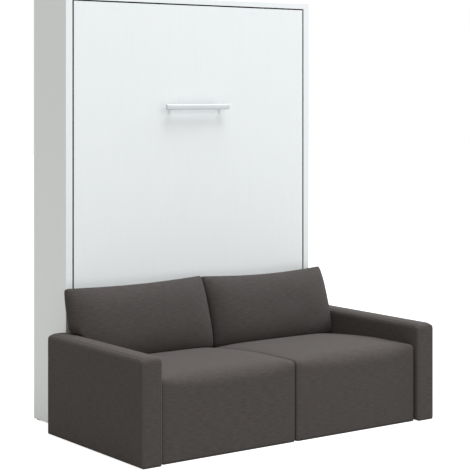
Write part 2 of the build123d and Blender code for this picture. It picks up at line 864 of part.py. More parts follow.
# Arms: a plywood box core under a padded cover
arm_core_x = (arm_inner + arm_side_cover, arm_outer - arm_side_cover)
arm_core_y = (arm_front + arm_end_cover, sofa_back - arm_end_cover)
arm_core_top = arm_height - arm_top_cover
arm_wall_z = (glide_height, arm_core_top - arm_board - board_joint)
for hand, side in hands:
    with BuildPart() as arm_core:
        for x in (arm_core_x[0], arm_core_x[1] - arm_board):
            block((side * x, side * (x + arm_board)), arm_core_y, arm_wall_z)
        for y in (arm_core_y[0], arm_core_y[1] - arm_board):
            block(
                (
                    side * (arm_core_x[0] + arm_board + board_joint),
                    side * (arm_core_x[1] - arm_board - board_joint),
                ),
                (y, y + arm_board),
                arm_wall_z,
            )
        block(
            (side * arm_core_x[0], side * arm_core_x[1]),
            arm_core_y,
            (arm_core_top - arm_board, arm_core_top),
        )
    finish(arm_core, f"arm_core_{hand}")

    with BuildPart() as arm_cover:
        block((side * arm_inner, side * arm_outer), (arm_front, sofa_back), (glide_height, arm_height))
        fillet(arm_cover.faces().sort_by(Axis.Z)[-1].edges().filter_by(Axis.Y), arm_top_radius)
        end_edges = arm_cover.faces().filter_by(Axis.Y).edges().sort_by(Axis.Z)
        fillet(end_edges[2:], arm_end_radius)
        block(
            (side * arm_core_x[0], side * arm_core_x[1]), arm_core_y, (0, arm_core_top), mode=Mode.SUBTRACT
        )
    finish(arm_cover, f"arm_cover_{hand}")

# Arm connectors: interlocking steel plates that hang each arm on the side of its seat
with BuildPart() as arm_connectors:
    for side in (-1, 1):
        for share in connector_shares:
            connector_y = sofa_back + share * (arm_front - sofa_back)
            block(
                (side * seat_outer, side * arm_inner),
                (connector_y - connector_width / 2, connector_y + connector_width / 2),
                (connector_low, connector_low + connector_height),
            )
finish(arm_connectors, "arm_connectors")

# Spacers: hardwood blocks that hold the sofa off the cabinet and tie it there
with BuildPart() as sofa_spacers:
    for side in (-1, 1):
        for x in (base_inner + spacer_inset, base_outer - spacer_inset - spacer_width):
            block(
                (side * x, side * (x + spacer_width)),
                (sofa_back, front_y),
                (spacer_low, spacer_low + spacer_height),
            )
finish(sofa_spacers, "sofa_spacers")

# Sofa glides under the seat bases and the arms
base_glide_y = (base_front + glide_size / 2, sofa_back - glide_size / 2)
arm_glide_y = (arm_core_y[0] + glide_size / 2, arm_core_y[1] - glide_size / 2)
with BuildPart() as sofa_glides:
    for side in (-1, 1):
        for x, glide_y in (
            (base_inner + glide_size / 2, base_glide_y),
            (base_outer - glide_size / 2, base_glide_y),
            ((arm_inner + arm_outer) / 2, arm_glide_y),
        ):
            for y in glide_y:
                pad_on_floor(side * x, y)
finish(sofa_glides, "sofa_glides")

# Back cushions: soft pillows with thin side seams, a full lower front and corners like ears
lean = radians(cushion_lean)
sole = radians(cushion_lean - cushion_sole_tilt)


def cushion_shape(share):
    """How full the pillow is at a share of its half width, and how far its ends draw in."""
    fullness = (1 - abs(share) ** side_power) ** side_softness
    return cushion_seam_share + (1 - cushion_seam_share) * fullness, 1 - share**2


def cushion_points(share):
    """The pillow's corners and crowns at a share of its half width."""
    full_share, dip_share = cushion_shape(share)
    front, back, front_foot, back_foot, edge = (
        cushion_seam + full_share * (full - cushion_seam)
        for full in (
            cushion_front_bulge,
            cushion_back_bulge,
            cushion_front_foot,
            cushion_back_foot,
            cushion_edge,
        )
    )
    foot = dip_share * cushion_foot_rise
    top = cushion_length - dip_share * cushion_ear_dip - edge
    return {
        "front toe": (foot - front_foot * tan(sole), front_foot),
        "front": (cushion_front_share * cushion_length, front),
        "front top": (top, edge),
        "tip": (top + edge * round_share, 0),
        "back top": (top, -edge),
        "back": (cushion_back_share * cushion_length, -back),
        "back toe": (foot + back_foot * tan(sole), -back_foot),
        "sag": (foot - edge * sag_share, 0),
    }


def cushion_plane(foot):
    """The plane across the pillow at its foot, its first axis up along the seam."""
    return Plane(origin=foot, x_dir=(0, sin(lean), cos(lean)), z_dir=(1, 0, 0))


def cushion_ring(foot, share):
    """Points round the pillow's outline above its foot."""
    at = cushion_points(share)
    arcs = (
        ThreePointArc(at["front toe"], at["front"], at["front top"]),
        ThreePointArc(at["front top"], at["tip"], at["back top"]),
        ThreePointArc(at["back top"], at["back"], at["back toe"]),
        ThreePointArc(at["back toe"], at["sag"], at["front toe"]),
    )
    plane = cushion_plane(foot)
    return [
        plane.from_local_coords(arc @ (step / strips))
        for arc, strips in zip(arcs, cushion_strips)
        for step in range(strips)
    ]


def cushion_skin(rings):
    """Flat facets that join the pillow's outlines, folded outwards, with its two seams."""
    facets = [Face(Wire.make_polygon(ring)) for ring in (rings[0], rings[-1])]
    for ring, following in zip(rings, rings[1:]):
        heart = sum(ring + following, Vector()) / (2 * len(ring))
        for step in range(len(ring)):
            corners = [ring[step - 1], ring[step], following[step], following[step - 1]]
            first_fold = (corners[0] + corners[2]) / 2 - heart
            second_fold = (corners[1] + corners[3]) / 2 - heart
            if second_fold.length > first_fold.length:
                corners = corners[1:] + corners[:1]
            facets.append(Face(Wire.make_polygon(corners[:3])))
            facets.append(Face(Wire.make_polygon(corners[2:] + corners[:1])))
    return facets


cushion_shares = [side * share for side in (-1, 1) for share in cushion_half_shares]
cushion_shares = sorted(cushion_shares + [0])
foot_y = front_y - seat_gap - max(point.Y for point in cushion_ring((0, 0, 0), 0))


def sole_height(x, share):
    """How high the pillow's foot stands at x, so that its sole lies on the crowned seat there."""
    across_share = (abs(x) - seat_inner - seat_side_radius) / (seat_width - 2 * seat_side_radius)
    lift_share = sin(pi * across_share) if 0 < across_share < 1 else 0
    seat_top = ThreePointArc(*seat_top_points(lift_share, 0))
    heights = []
    for corner in ("front toe", "sag", "back toe"):
        up_seam, forward = cushion_points(share)[corner]
        sole_y = foot_y + up_seam * sin(lean) - forward * cos(lean)
        seat_z = seat_top.arc_center.Y + sqrt(seat_top.radius**2 - (sole_y - seat_top.arc_center.X) ** 2)
        heights.append(seat_z - up_seam * cos(lean) - forward * sin(lean))
    return max(heights)


for hand, side in hands:
    near_x = cushion_middle_gap / 2
    far_x = arm_inner + cushion_over_arm[hand]
    middle_x = side * (near_x + far_x) / 2
    half = (far_x - near_x) / 2
    foot_z = cushion_rest_gap + max(
        sole_height(middle_x + half * share, share) for share in cushion_shares
    )
    print(f"{hand} cushion foot at y {foot_y:.3f}, z {foot_z:.3f}")
    with BuildPart() as back_cushion:
        add(
            Solid(
                Shell(
                    cushion_skin(
                        [
                            cushion_ring((middle_x + half * share, foot_y, foot_z), share)
                            for share in cushion_shares
                        ]
                    )
                )
            )
        )
        filling_length = (filling_high_share - filling_low_share) * cushion_length
        filling_middle = (filling_low_share + filling_high_share) / 2 * cushion_length
        filling_reach = filling_side_share * half
        filling_x = middle_x - filling_reach
        with BuildSketch(cushion_plane((filling_x, foot_y, foot_z))):
            with Locations((filling_middle, (cushion_front_foot - cushion_back_foot) / 2)):
                Rectangle(filling_length, cushion_front_foot + cushion_back_foot - 2 * cushion_wall)
        extrude(amount=2 * filling_reach, mode=Mode.SUBTRACT)
        block(
            (side * (arm_inner - cushion_arm_gap), side * 2 * far_x),
            (arm_front, front_y),
            (0, arm_height + cushion_arm_gap),
            mode=Mode.SUBTRACT,
        )
    finish(back_cushion, f"back_cushion_{hand}")
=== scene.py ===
import math

import bmesh
import bpy
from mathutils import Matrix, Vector, noise


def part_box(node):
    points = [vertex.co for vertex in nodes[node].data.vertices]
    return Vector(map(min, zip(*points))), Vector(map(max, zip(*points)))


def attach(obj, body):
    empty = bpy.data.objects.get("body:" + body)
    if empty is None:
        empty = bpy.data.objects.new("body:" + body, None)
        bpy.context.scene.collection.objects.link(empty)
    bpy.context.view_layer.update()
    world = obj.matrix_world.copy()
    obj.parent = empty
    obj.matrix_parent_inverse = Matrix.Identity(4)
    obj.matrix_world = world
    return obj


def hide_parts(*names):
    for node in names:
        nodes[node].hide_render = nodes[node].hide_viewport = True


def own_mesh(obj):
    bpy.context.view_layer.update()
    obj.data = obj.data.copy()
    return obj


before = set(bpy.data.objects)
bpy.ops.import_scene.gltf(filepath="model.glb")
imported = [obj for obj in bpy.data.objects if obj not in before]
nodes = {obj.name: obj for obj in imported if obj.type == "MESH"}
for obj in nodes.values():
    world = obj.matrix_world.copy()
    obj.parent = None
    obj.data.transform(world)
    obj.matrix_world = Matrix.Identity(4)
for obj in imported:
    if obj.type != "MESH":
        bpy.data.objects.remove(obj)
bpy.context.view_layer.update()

# The place it stands in
# A plain white floor in soft light from above and in front, seen a little from the left.
# The floor shows white to the camera and still takes the soft shadow of the bed.
floor_reach = 60.0
floor_bounce = (0.42, 0.42, 0.42, 1)
floor_shade = (0.40, 0.40, 0.40, 1)
floor_glow_share = 0.84
sky_colour = (1.0, 0.975, 0.885, 1)
sky_strength = 0.60
lamp_colour = (0.93, 0.97, 1.0)
lamps = (
    ("key_lamp", (7.2, -17.0, 12.4), 9.0, 765.0),
    ("top_lamp", (0.8, -4.2, 18.0), 9.0, 3300.0),
    ("side_lamp", (11.0, -0.5, 8.5), 4.0, 900.0),
)
lamp_target = Vector((0, 0, 0.8))
camera_place = (-4.457, -6.200, 1.676)
camera_turn = -36.11
camera_lens = 113.77
camera_shift = -0.29975


def white_to_the_eye(tree, plain, bright, target):
    """Shows one shader to camera, glossy and transmission rays and another to the rest."""
    rays = tree.nodes.new("ShaderNodeLightPath")
    direct = rays.outputs["Is Camera Ray"]
    for other in ("Is Glossy Ray", "Is Transmission Ray"):
        either = tree.nodes.new("ShaderNodeMath")
        either.operation = "MAXIMUM"
        tree.links.new(direct, either.inputs[0])
        tree.links.new(rays.outputs[other], either.inputs[1])
        direct = either.outputs[0]
    choice = tree.nodes.new("ShaderNodeMixShader")
    tree.links.new(direct, choice.inputs[0])
    tree.links.new(plain, choice.inputs[1])
    tree.links.new(bright, choice.inputs[2])
    tree.links.new(choice.outputs[0], target)


bpy.ops.mesh.primitive_plane_add(size=floor_reach)
floor = bpy.context.object
floor.name = "floor"
floor_white = bpy.data.materials.new("floor_white")
floor_white.use_nodes = True
tree = floor_white.node_tree
tree.nodes.remove(tree.nodes["Principled BSDF"])
floor_matte = tree.nodes.new("ShaderNodeBsdfDiffuse")
floor_matte.inputs["Color"].default_value = floor_bounce
floor_shaded = tree.nodes.new("ShaderNodeBsdfDiffuse")
floor_shaded.inputs["Color"].default_value = floor_shade
floor_glow = tree.nodes.new("ShaderNodeEmission")
floor_glow.inputs["Strength"].default_value = floor_glow_share
floor_seen = tree.nodes.new("ShaderNodeAddShader")
tree.links.new(floor_glow.outputs[0], floor_seen.inputs[0])
tree.links.new(floor_shaded.outputs[0], floor_seen.inputs[1])
surface = tree.nodes["Material Output"].inputs["Surface"]
white_to_the_eye(tree, floor_matte.outputs[0], floor_seen.outputs[0], surface)
floor.data.materials.append(floor_white)

world = bpy.data.worlds.new("soft_room")
bpy.context.scene.world = world
world.use_nodes = True
tree = world.node_tree
sky = tree.nodes["Background"]
sky.inputs["Color"].default_value = sky_colour
sky.inputs["Strength"].default_value = sky_strength
seen_sky = tree.nodes.new("ShaderNodeBackground")
seen_sky.inputs["Color"].default_value = (1, 1, 1, 1)
seen_sky.inputs["Strength"].default_value = 1.0
surface = tree.nodes["World Output"].inputs["Surface"]
white_to_the_eye(tree, sky.outputs[0], seen_sky.outputs[0], surface)

for lamp_name, lamp_place, lamp_size, lamp_power in lamps:
    lamp = bpy.data.lights.new(lamp_name, "AREA")
    lamp.size = lamp_size
    lamp.energy = lamp_power
    lamp.color = lamp_colour
    lamp_holder = bpy.data.objects.new(lamp_name, lamp)
    lamp_holder.location = lamp_place
    towards = lamp_target - Vector(lamp_place)
    lamp_holder.rotation_euler = towards.to_track_quat("-Z", "Y").to_euler()
    bpy.context.scene.collection.objects.link(lamp_holder)

camera = bpy.data.cameras.new("camera")
camera.sensor_width = 36.0
camera.lens = camera_lens
camera.shift_y = camera_shift
camera_holder = bpy.data.objects.new("camera", camera)
camera_holder.location = camera_place
camera_holder.rotation_euler = (math.radians(90), 0, math.radians(camera_turn))
bpy.context.scene.collection.objects.link(camera_holder)
bpy.context.scene.camera = camera_holder
bpy.context.scene.view_settings.view_transform = "Standard"


# Cabinet boards and the front
# White melamine-faced chipboard, edged in the same white: a hard satin skin with a faint
# upright print of grain. The boards are doweled together; the front is one plain panel.
board_white = (0.810, 0.831, 0.853, 1)
board_shadow_white = (0.771, 0.792, 0.814, 1)
grain_width = 0.0035
grain_length = 0.28
hands = (("left", -1), ("right", 1))


def pair(name):
    """The left and the right node of a name."""
    return tuple(f"{name}_{hand}" for hand, side in hands)


def new_finish(name):
    """A material with its node tree and its main shader."""
    finish = bpy.data.materials.new(name)
    finish.use_nodes = True
    return finish, finish.node_tree, finish.node_tree.nodes["Principled BSDF"]


def new_effect(name, numbers, results):
    """A shader group with number inputs and number outputs."""
    effect = bpy.data.node_groups.new(name, "ShaderNodeTree")
    for label, value in numbers.items():
        socket = effect.interface.new_socket(label, in_out="INPUT", socket_type="NodeSocketFloat")
        socket.default_value = value
    for label in results:
        effect.interface.new_socket(label, in_out="OUTPUT", socket_type="NodeSocketFloat")
    return effect, effect.nodes.new("NodeGroupInput"), effect.nodes.new("NodeGroupOutput")


def calc(tree, operation, *values):
    """A math node fed by sockets or numbers."""
    node = tree.nodes.new("ShaderNodeMath")
    node.operation = operation
    for socket, value in zip(node.inputs, values):
        if isinstance(value, bpy.types.NodeSocket):
            tree.links.new(value, socket)
        else:
            socket.default_value = value
    return node.outputs[0]


def noise_at(tree, place, detail=3.0, roughness=0.5):
    """A noise value from 0 to 1 at a place that is already scaled."""
    node = tree.nodes.new("ShaderNodeTexNoise")
    node.inputs["Scale"].default_value = 1.0
    node.inputs["Detail"].default_value = detail
    node.inputs["Roughness"].default_value = roughness
    tree.links.new(place, node.inputs["Vector"])
    return node.outputs[0]


def object_axes(tree):
    """The object's own X, Y and Z as three outputs."""
    where = tree.nodes.new("ShaderNodeTexCoord")
    split = tree.nodes.new("ShaderNodeSeparateXYZ")
    tree.links.new(where.outputs["Object"], split.inputs[0])
    return split.outputs


def joined(tree, parts):
    """A vector joined from the sockets given for its axes."""
    vector = tree.nodes.new("ShaderNodeCombineXYZ")
    for axis, part in parts.items():
        tree.links.new(part, vector.inputs[axis])
    return vector.outputs[0]


def place_effect(tree, effect, values):
    """An effect placed in a material, with its own values."""
    node = tree.nodes.new("ShaderNodeGroup")
    node.node_tree = effect
    for label, value in values.items():
        node.inputs[label].default_value = value
    return node


def tint(tree, share, first, second, target):
    """Two colours mixed by a share, into a colour socket."""
    mix = tree.nodes.new("ShaderNodeMix")
    mix.data_type = "RGBA"
    mix.inputs[6].default_value = first
    mix.inputs[7].default_value = second
    tree.links.new(share, mix.inputs[0])
    tree.links.new(mix.outputs[2], target)


def gloss(tree, share, spread, least, shader):
    """A roughness that rises from its least value by a share of a spread."""
    tree.links.new(calc(tree, "MULTIPLY_ADD", share, spread, least), shader.inputs["Roughness"])


def relief(tree, height, depth, shader):
    """A bump of a depth in metres, into a shader's normal."""
    bump = tree.nodes.new("ShaderNodeBump")
    bump.inputs["Strength"].default_value = 1.0
    bump.inputs["Distance"].default_value = depth
    tree.links.new(height, bump.inputs["Height"])
    tree.links.new(bump.outputs[0], shader.inputs["Normal"])


def coat(finish, names):
    """Gives CAD nodes one finish."""
    for name in names:
        nodes[name].data.materials.clear()
        nodes[name].data.materials.append(finish)


streaks, streaks_in, streaks_out = new_effect(
    "upright_streaks", {"Width": grain_width, "Length": grain_length}, ("Shade", "Height")
)
axes = object_axes(streaks)
stretched = joined(
    streaks,
    {
        axis: calc(streaks, "DIVIDE", axes[axis], streaks_in.outputs[size])
        for axis, size in (("X", "Width"), ("Y", "Width"), ("Z", "Length"))
    },
)
streaks.links.new(noise_at(streaks, stretched, 4.0, 0.6), streaks_out.inputs["Height"])
streaks.links.new(noise_at(streaks, stretched, 1.0), streaks_out.inputs["Shade"])

white_board, tree, shader = new_finish("white_board")
shader.inputs["Specular IOR Level"].default_value = 0.4
grain = place_effect(tree, streaks, {"Width": grain_width, "Length": grain_length})
tint(tree, grain.outputs["Shade"], board_shadow_white, board_white, shader.inputs["Base Color"])
gloss(tree, grain.outputs["Height"], 0.12, 0.34, shader)
relief(tree, grain.outputs["Height"], 0.00003, shader)
coat(white_board, (*pair("side_panel"), "top_panel", "kick_panel", "facade_panel"))
coat(white_board, ("lower_rear_rail", "headboard_panel", "upper_rear_rail"))


# Painted gap shade round the front
# Thin near-black strips round the front's four edges and on the cabinet's faces beside
# them, put in the gap as painted shade, clear of each other and of the pivot plates.
shade_strip_thickness = 0.0006
shade_strip_setback = 0.0003
shade_strip_end_gap = 0.001
shade_strip_plate_gap = 0.004
# Near-black finish of the gap strips: painted shade in the gap round the front.
gap_shade_black, tree, shader = new_finish("gap_shade_black")
shader.inputs["Roughness"].default_value = 0.9
shader.inputs["Specular IOR Level"].default_value = 0.1
pores = place_effect(tree, streaks, {"Width": 0.001, "Length": 0.001})
gap_shade_colours = ((0.008, 0.008, 0.008, 1), (0.020, 0.020, 0.021, 1))
tint(tree, pores.outputs["Shade"], *gap_shade_colours, shader.inputs["Base Color"])
relief(tree, pores.outputs["Height"], 0.0002, shader)


def new_piece(name, mesh):
    """An object of the scene, at the origin, for a mesh."""
    piece = bpy.data.objects.new(name, mesh)
    bpy.context.scene.collection.objects.link(piece)
    return piece


def strip_set(name, blocks, finish):
    """Closed square strips, each from its low and its high corner, as one mesh."""
    strips = bmesh.new()
    for strip_low, strip_high in blocks:
        made = bmesh.ops.create_cube(strips, size=1.0)["verts"]
        for vert in made:
            vert.co = Vector(
                [(a + b) / 2 + c * (b - a) for a, b, c in zip(strip_low, strip_high, vert.co)]
            )
    mesh = bpy.data.meshes.new(name)
    strips.to_mesh(mesh)
    strips.free()
    mesh.materials.append(finish)
    return new_piece(name, mesh)


low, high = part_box("facade_panel")
side_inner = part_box("side_panel_right")[0].x
top_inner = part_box("top_panel")[0].z
front = low.y + shade_strip_setback
rear = high.y - shade_strip_setback
plate_low, plate_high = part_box("pivot_plate_left")
left_end, right_end = low.x + shade_strip_end_gap, high.x - shade_strip_end_gap
facade_strips = [
    ((left_end, front, high.z), (right_end, rear, high.z + shade_strip_thickness)),
    ((left_end, front, low.z - shade_strip_thickness), (right_end, rear, low.z)),
]
cabinet_strips = [((low.x, front, top_inner - shade_strip_thickness), (high.x, rear, top_inner))]
for foot, head in (
    (low.z + shade_strip_end_gap, plate_low.z - shade_strip_plate_gap),
    (plate_high.z + shade_strip_plate_gap, high.z - shade_strip_end_gap),
):
    for side in (-1, 1):
        on_front = sorted((side * high.x, side * (high.x + shade_strip_thickness)))
        on_cabinet = sorted((side * side_inner, side * (side_inner - shade_strip_thickness)))
        facade_strips.append(((on_front[0], front, foot), (on_front[1], rear, head)))
        cabinet_strips.append(((on_cabinet[0], front, foot), (on_cabinet[1], rear, head)))
# The strips on the front and on the cabinet are painted shade for the gap.
facade_gap_shade = strip_set("facade_gap_shade", facade_strips, gap_shade_black)
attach(facade_gap_shade, "folding_bed")
cabinet_gap_shade = strip_set("cabinet_gap_shade", cabinet_strips, gap_shade_black)
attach(cabinet_gap_shade, "cabinet_and_sofa")


# Handle
# A flat bar of satin aluminium with a crowned face and square-cut ends, on two square posts.
# It is screwed on through the front from behind, and its face catches light on its upper half.
handle_low, handle_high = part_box("handle")
handle_bar = 0.012
handle_crown = 0.0045
handle_post = 0.012
handle_post_inset = 0.039
handle_face_steps = 12
handle_face_powers = (0.8, 0.9)
handle_post_bite = 0.0004
handle_edge_break = 0.0006

rim = bmesh.new()
half_height = (handle_high.z - handle_low.z) / 2
handle_middle = (handle_low.z + handle_high.z) / 2
bar_rear = handle_low.y + handle_bar
section = []
for step in range(handle_face_steps + 1):
    angle = math.pi * step / handle_face_steps
    up = math.copysign(abs(math.cos(angle)) ** handle_face_powers[0], math.cos(angle))
    back = handle_crown * (1 - math.sin(angle) ** handle_face_powers[1])
    section.append((handle_low.y + back, handle_middle + up * half_height))
section += [(bar_rear, handle_low.z), (bar_rear, handle_high.z)]
rings = []
for x in (handle_low.x, handle_high.x):
    rings.append([rim.verts.new((x, y, z)) for y, z in section])
for i in range(len(section)):
    j = (i + 1) % len(section)
    rim.faces.new((rings[0][i], rings[0][j], rings[1][j], rings[1][i]))
rim.faces.new(rings[0])
rim.faces.new(list(reversed(rings[1])))
post_length = handle_high.y - bar_rear + handle_post_bite
post_size = Vector((handle_post, post_length, handle_post))
for post_x in (handle_low.x + handle_post_inset, handle_high.x - handle_post_inset):
    post_place = Vector((post_x, handle_high.y - post_length / 2, handle_middle))
    for vert in bmesh.ops.create_cube(rim, size=1.0)["verts"]:
        vert.co = post_place + vert.co * post_size
bmesh.ops.recalc_face_normals(rim, faces=rim.faces)
mesh = bpy.data.meshes.new("handle_bar")
rim.to_mesh(mesh)
rim.free()
handle_bar_piece = new_piece("handle_bar", mesh)
for face in mesh.polygons:
    face.use_smooth = True
bevel = handle_bar_piece.modifiers.new("soft_edges", "BEVEL")
bevel.width = handle_edge_break
bevel.segments = 2
bevel.limit_method = "ANGLE"
bevel.harden_normals = True

marks, marks_in, marks_out = new_effect(
    "handling_marks", {"Scale": 60.0, "Stretch": 1.0}, ("Dull", "Height")
)
axes = object_axes(marks)
scaled = {axis: calc(marks, "MULTIPLY", axes[axis], marks_in.outputs["Scale"]) for axis in "XYZ"}
scaled["X"] = calc(marks, "DIVIDE", scaled["X"], marks_in.outputs["Stretch"])
drawn = joined(marks, scaled)
marks.links.new(noise_at(marks, drawn, 6.0, 0.6), marks_out.inputs["Dull"])
marks.links.new(noise_at(marks, drawn, 2.0), marks_out.inputs["Height"])


mark_depth = 0.00002


def worn_finish(name, light, dark, metallic, roughness, spread, scale, stretch=1.0):
    """A hard finish whose gloss and shade wander with handling marks."""
    finish, tree, shader = new_finish(name)
    shader.inputs["Metallic"].default_value = metallic
    marked = place_effect(tree, marks, {"Scale": scale, "Stretch": stretch})
    tint(tree, marked.outputs["Dull"], (*light, 1), (*dark, 1), shader.inputs["Base Color"])
    gloss(tree, marked.outputs["Dull"], spread, roughness, shader)
    relief(tree, marked.outputs["Height"], mark_depth, shader)
    return finish


satin_aluminium = worn_finish(
    "satin_aluminium", (0.62, 0.64, 0.66), (0.50, 0.52, 0.54), 0.4, 0.34, 0.16, 900.0, 40.0
)
mesh.materials.append(satin_aluminium)
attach(handle_bar_piece, "folding_bed")
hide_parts("handle")


# Steel frame, brackets and gas struts of the bed
# Welded square tube in grey powder paint; zinc plates with pins for the pivots; black gas
# struts with bright rods. All of it is bought-in fittings, bolted to the boards.
frame_tubes = (*pair("bed_side_rail"), "bed_centre_rail", "bed_head_rail", "bed_foot_rail")
steel_plates = ("wall_brackets", "corner_angles", "facade_clips", "arm_connectors")
hinge_plates = (*pair("pivot_plate"), *pair("strut_anchor"), *pair("bed_bracket"))
leg_parts = ("leg_shaft", *pair("leg"))
mouldings = ("slat_caps", "strap_buckles", "cabinet_glides", "sofa_glides")
fitting_finishes = (
    (("powder_grey", (0.36, 0.37, 0.39), (0.31, 0.32, 0.34), 0, 0.42, 0.18, 700), frame_tubes),
    (
        ("zinc_plate", (0.62, 0.63, 0.65), (0.50, 0.52, 0.55), 1, 0.30, 0.25, 90),
        (*steel_plates, *hinge_plates, *leg_parts),
    ),
    (
        ("strut_black", (0.018, 0.018, 0.020), (0.026, 0.026, 0.028), 0, 0.22, 0.2, 120),
        pair("strut_cylinder"),
    ),
    (
        ("bright_rod", (0.80, 0.80, 0.82), (0.76, 0.76, 0.78), 1, 0.08, 0.08, 200, 20),
        pair("strut_rod"),
    ),
    (
        ("moulded_black", (0.030, 0.030, 0.031), (0.040, 0.040, 0.041), 0, 0.45, 0.2, 900),
        mouldings,
    ),
    (
        ("bearing_white", (0.72, 0.71, 0.67), (0.66, 0.65, 0.61), 0, 0.35, 0.2, 300),
        ("pivot_bushes", "shaft_bushes"),
    ),
    (
        ("matte_rubber", (0.022, 0.022, 0.022), (0.032, 0.031, 0.030), 0, 0.7, 0.2, 500),
        ("closing_stops", "leg_feet"),
    ),
)
for look, names in fitting_finishes:
    coat(worn_finish(*look), names)


# Screws of the fittings
# Pan-head screws with a sunk socket hold the brackets, angles, plates and clips to the boards
# and the frame. Each turns to its own angle, as they do when they are driven by hand.
screw_head = 0.0075
screw_height = 0.0022
screw_drive = 0.0036
screw_sides = 18
screw_rim_share = 0.6
screw_dome_share = 0.8
screw_seat = 0.0003
screw_weld = 0.00001

screws = bpy.data.node_groups.new("pan_head_screws", "GeometryNodeTree")
screws.interface.new_socket("Places", in_out="INPUT", socket_type="NodeSocketGeometry")
screw_inputs = {}
for label, kind, value in (
    ("Head Diameter", "NodeSocketFloat", screw_head),
    ("Head Height", "NodeSocketFloat", screw_height),
    ("Drive Width", "NodeSocketFloat", screw_drive),
    ("Seed", "NodeSocketInt", 4),
    ("Finish", "NodeSocketMaterial", None),
):
    socket = screws.interface.new_socket(label, in_out="INPUT", socket_type=kind)
    screw_inputs[label] = socket.identifier
    if value is not None:
        socket.default_value = value
screws.interface.new_socket("Screws", in_out="OUTPUT", socket_type="NodeSocketGeometry")


def step_of(kind, links=(), **settings):
    """A geometry node with its settings, and its inputs linked from sockets or set to values."""
    node = screws.nodes.new(kind)
    for label, value in settings.items():
        setattr(node, label, value)
    for label, value in dict(links).items():
        if isinstance(value, bpy.types.NodeSocket):
            screws.links.new(value, node.inputs[label])
        else:
            node.inputs[label].default_value = value
    return node


def raised(mesh, top, height_share):
    """Top faces extruded by a share of the head's height."""
    height = calc(screws, "MULTIPLY", given.outputs["Head Height"], height_share)
    inputs = {"Mesh": mesh, "Offset Scale": height, "Individual": False}
    if top is not None:
        inputs["Selection"] = top
    extruded = step_of("GeometryNodeExtrudeMesh", inputs, mode="FACES")
    return extruded.outputs["Mesh"], extruded.outputs["Top"]


def narrowed(mesh, top, scale):
    """Top faces drawn in to a scale."""
    inputs = {"Geometry": mesh, "Selection": top, "Scale": scale}
    return step_of("GeometryNodeScaleElements", inputs).outputs[0]


given = screws.nodes.new("NodeGroupInput")
head_radius = calc(screws, "DIVIDE", given.outputs["Head Diameter"], 2.0)
drive_share = calc(
    screws, "DIVIDE", given.outputs["Drive Width"], given.outputs["Head Diameter"]
)
disc = step_of(
    "GeometryNodeMeshCircle", {"Vertices": screw_sides, "Radius": head_radius}, fill_type="NGON"
).outputs[0]
body, top = raised(disc, None, screw_rim_share)
body, top = raised(body, top, 1 - screw_rim_share)
body, top = raised(narrowed(body, top, screw_dome_share), top, 0.0)
body = narrowed(body, top, calc(screws, "DIVIDE", drive_share, screw_dome_share))
body, top = raised(body, top, -screw_rim_share)
base = step_of("GeometryNodeFlipFaces", {"Mesh": disc})
both = step_of("GeometryNodeJoinGeometry")
screws.links.new(body, both.inputs[0])
screws.links.new(base.outputs[0], both.inputs[0])
head = step_of(
    "GeometryNodeMergeByDistance", {"Geometry": both.outputs[0], "Distance": screw_weld}
)
facing = step_of("GeometryNodeInputNamedAttribute", {"Name": "facing"}, data_type="FLOAT_VECTOR")
turned = step_of(
    "FunctionNodeAlignRotationToVector", {"Vector": facing.outputs["Attribute"]}, axis="Z"
)
spin = step_of("FunctionNodeRandomValue", {"Seed": given.outputs["Seed"]}, data_type="FLOAT")
for socket in spin.inputs:
    if socket.enabled and socket.name == "Max":
        socket.default_value = 2 * math.pi
turn = [socket for socket in spin.outputs if socket.enabled][0]
spun = step_of(
    "FunctionNodeRotateRotation",
    {"Rotation": turned.outputs[0], "Rotate By": joined(screws, {"Z": turn})},
    rotation_space="LOCAL",
)
placed = step_of(
    "GeometryNodeInstanceOnPoints",
    {"Points": given.outputs["Places"], "Instance": head.outputs[0], "Rotation": spun.outputs[0]},
)
real = step_of("GeometryNodeRealizeInstances", {"Geometry": placed.outputs[0]})
clad = step_of(
    "GeometryNodeSetMaterial", {"Geometry": real.outputs[0], "Material": given.outputs["Finish"]}
)
result = screws.nodes.new("NodeGroupOutput")
screws.links.new(clad.outputs[0], result.inputs[0])


def screw_set(name, places, body):
    """One mesh of screws, each at a place and facing a direction, that rides on a body."""
    mesh = bpy.data.meshes.new(name + "_places")
    seats = [Vector(place) - Vector(way) * screw_seat for place, way in places]
    mesh.from_pydata(seats, [], [])
    mesh.attributes.new("facing", "FLOAT_VECTOR", "POINT")
    for item, (_, way) in zip(mesh.attributes["facing"].data, places):
        item.vector = way
    piece = new_piece(name, mesh)
    setter = piece.modifiers.new("screws", "NODES")
    setter.node_group = screws
    setter[screw_inputs["Finish"]] = bright_zinc
    setter[screw_inputs["Seed"]] = len(places)
    evaluated = piece.evaluated_get(bpy.context.evaluated_depsgraph_get())
    made = bpy.data.meshes.new_from_object(evaluated)
    made.name = name
    piece.modifiers.clear()
    piece.data = made
    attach(piece, body)


bracket_middle = 0.035
bracket_sheet = 0.004
bracket_drop = 0.075
bracket_shift = 0.022
angle_sheet = 0.003
angle_reach = 0.027
angle_rows = (0.015, 0.055)
clip_rows = 4
clip_half = 0.020
clip_sheet = 0.003
clip_reaches = (0.019, 0.016)
clip_shift = 0.011
plate_screws = (("pivot_plate", 0.005, 0.014), ("strut_anchor", 0.003, 0.010))

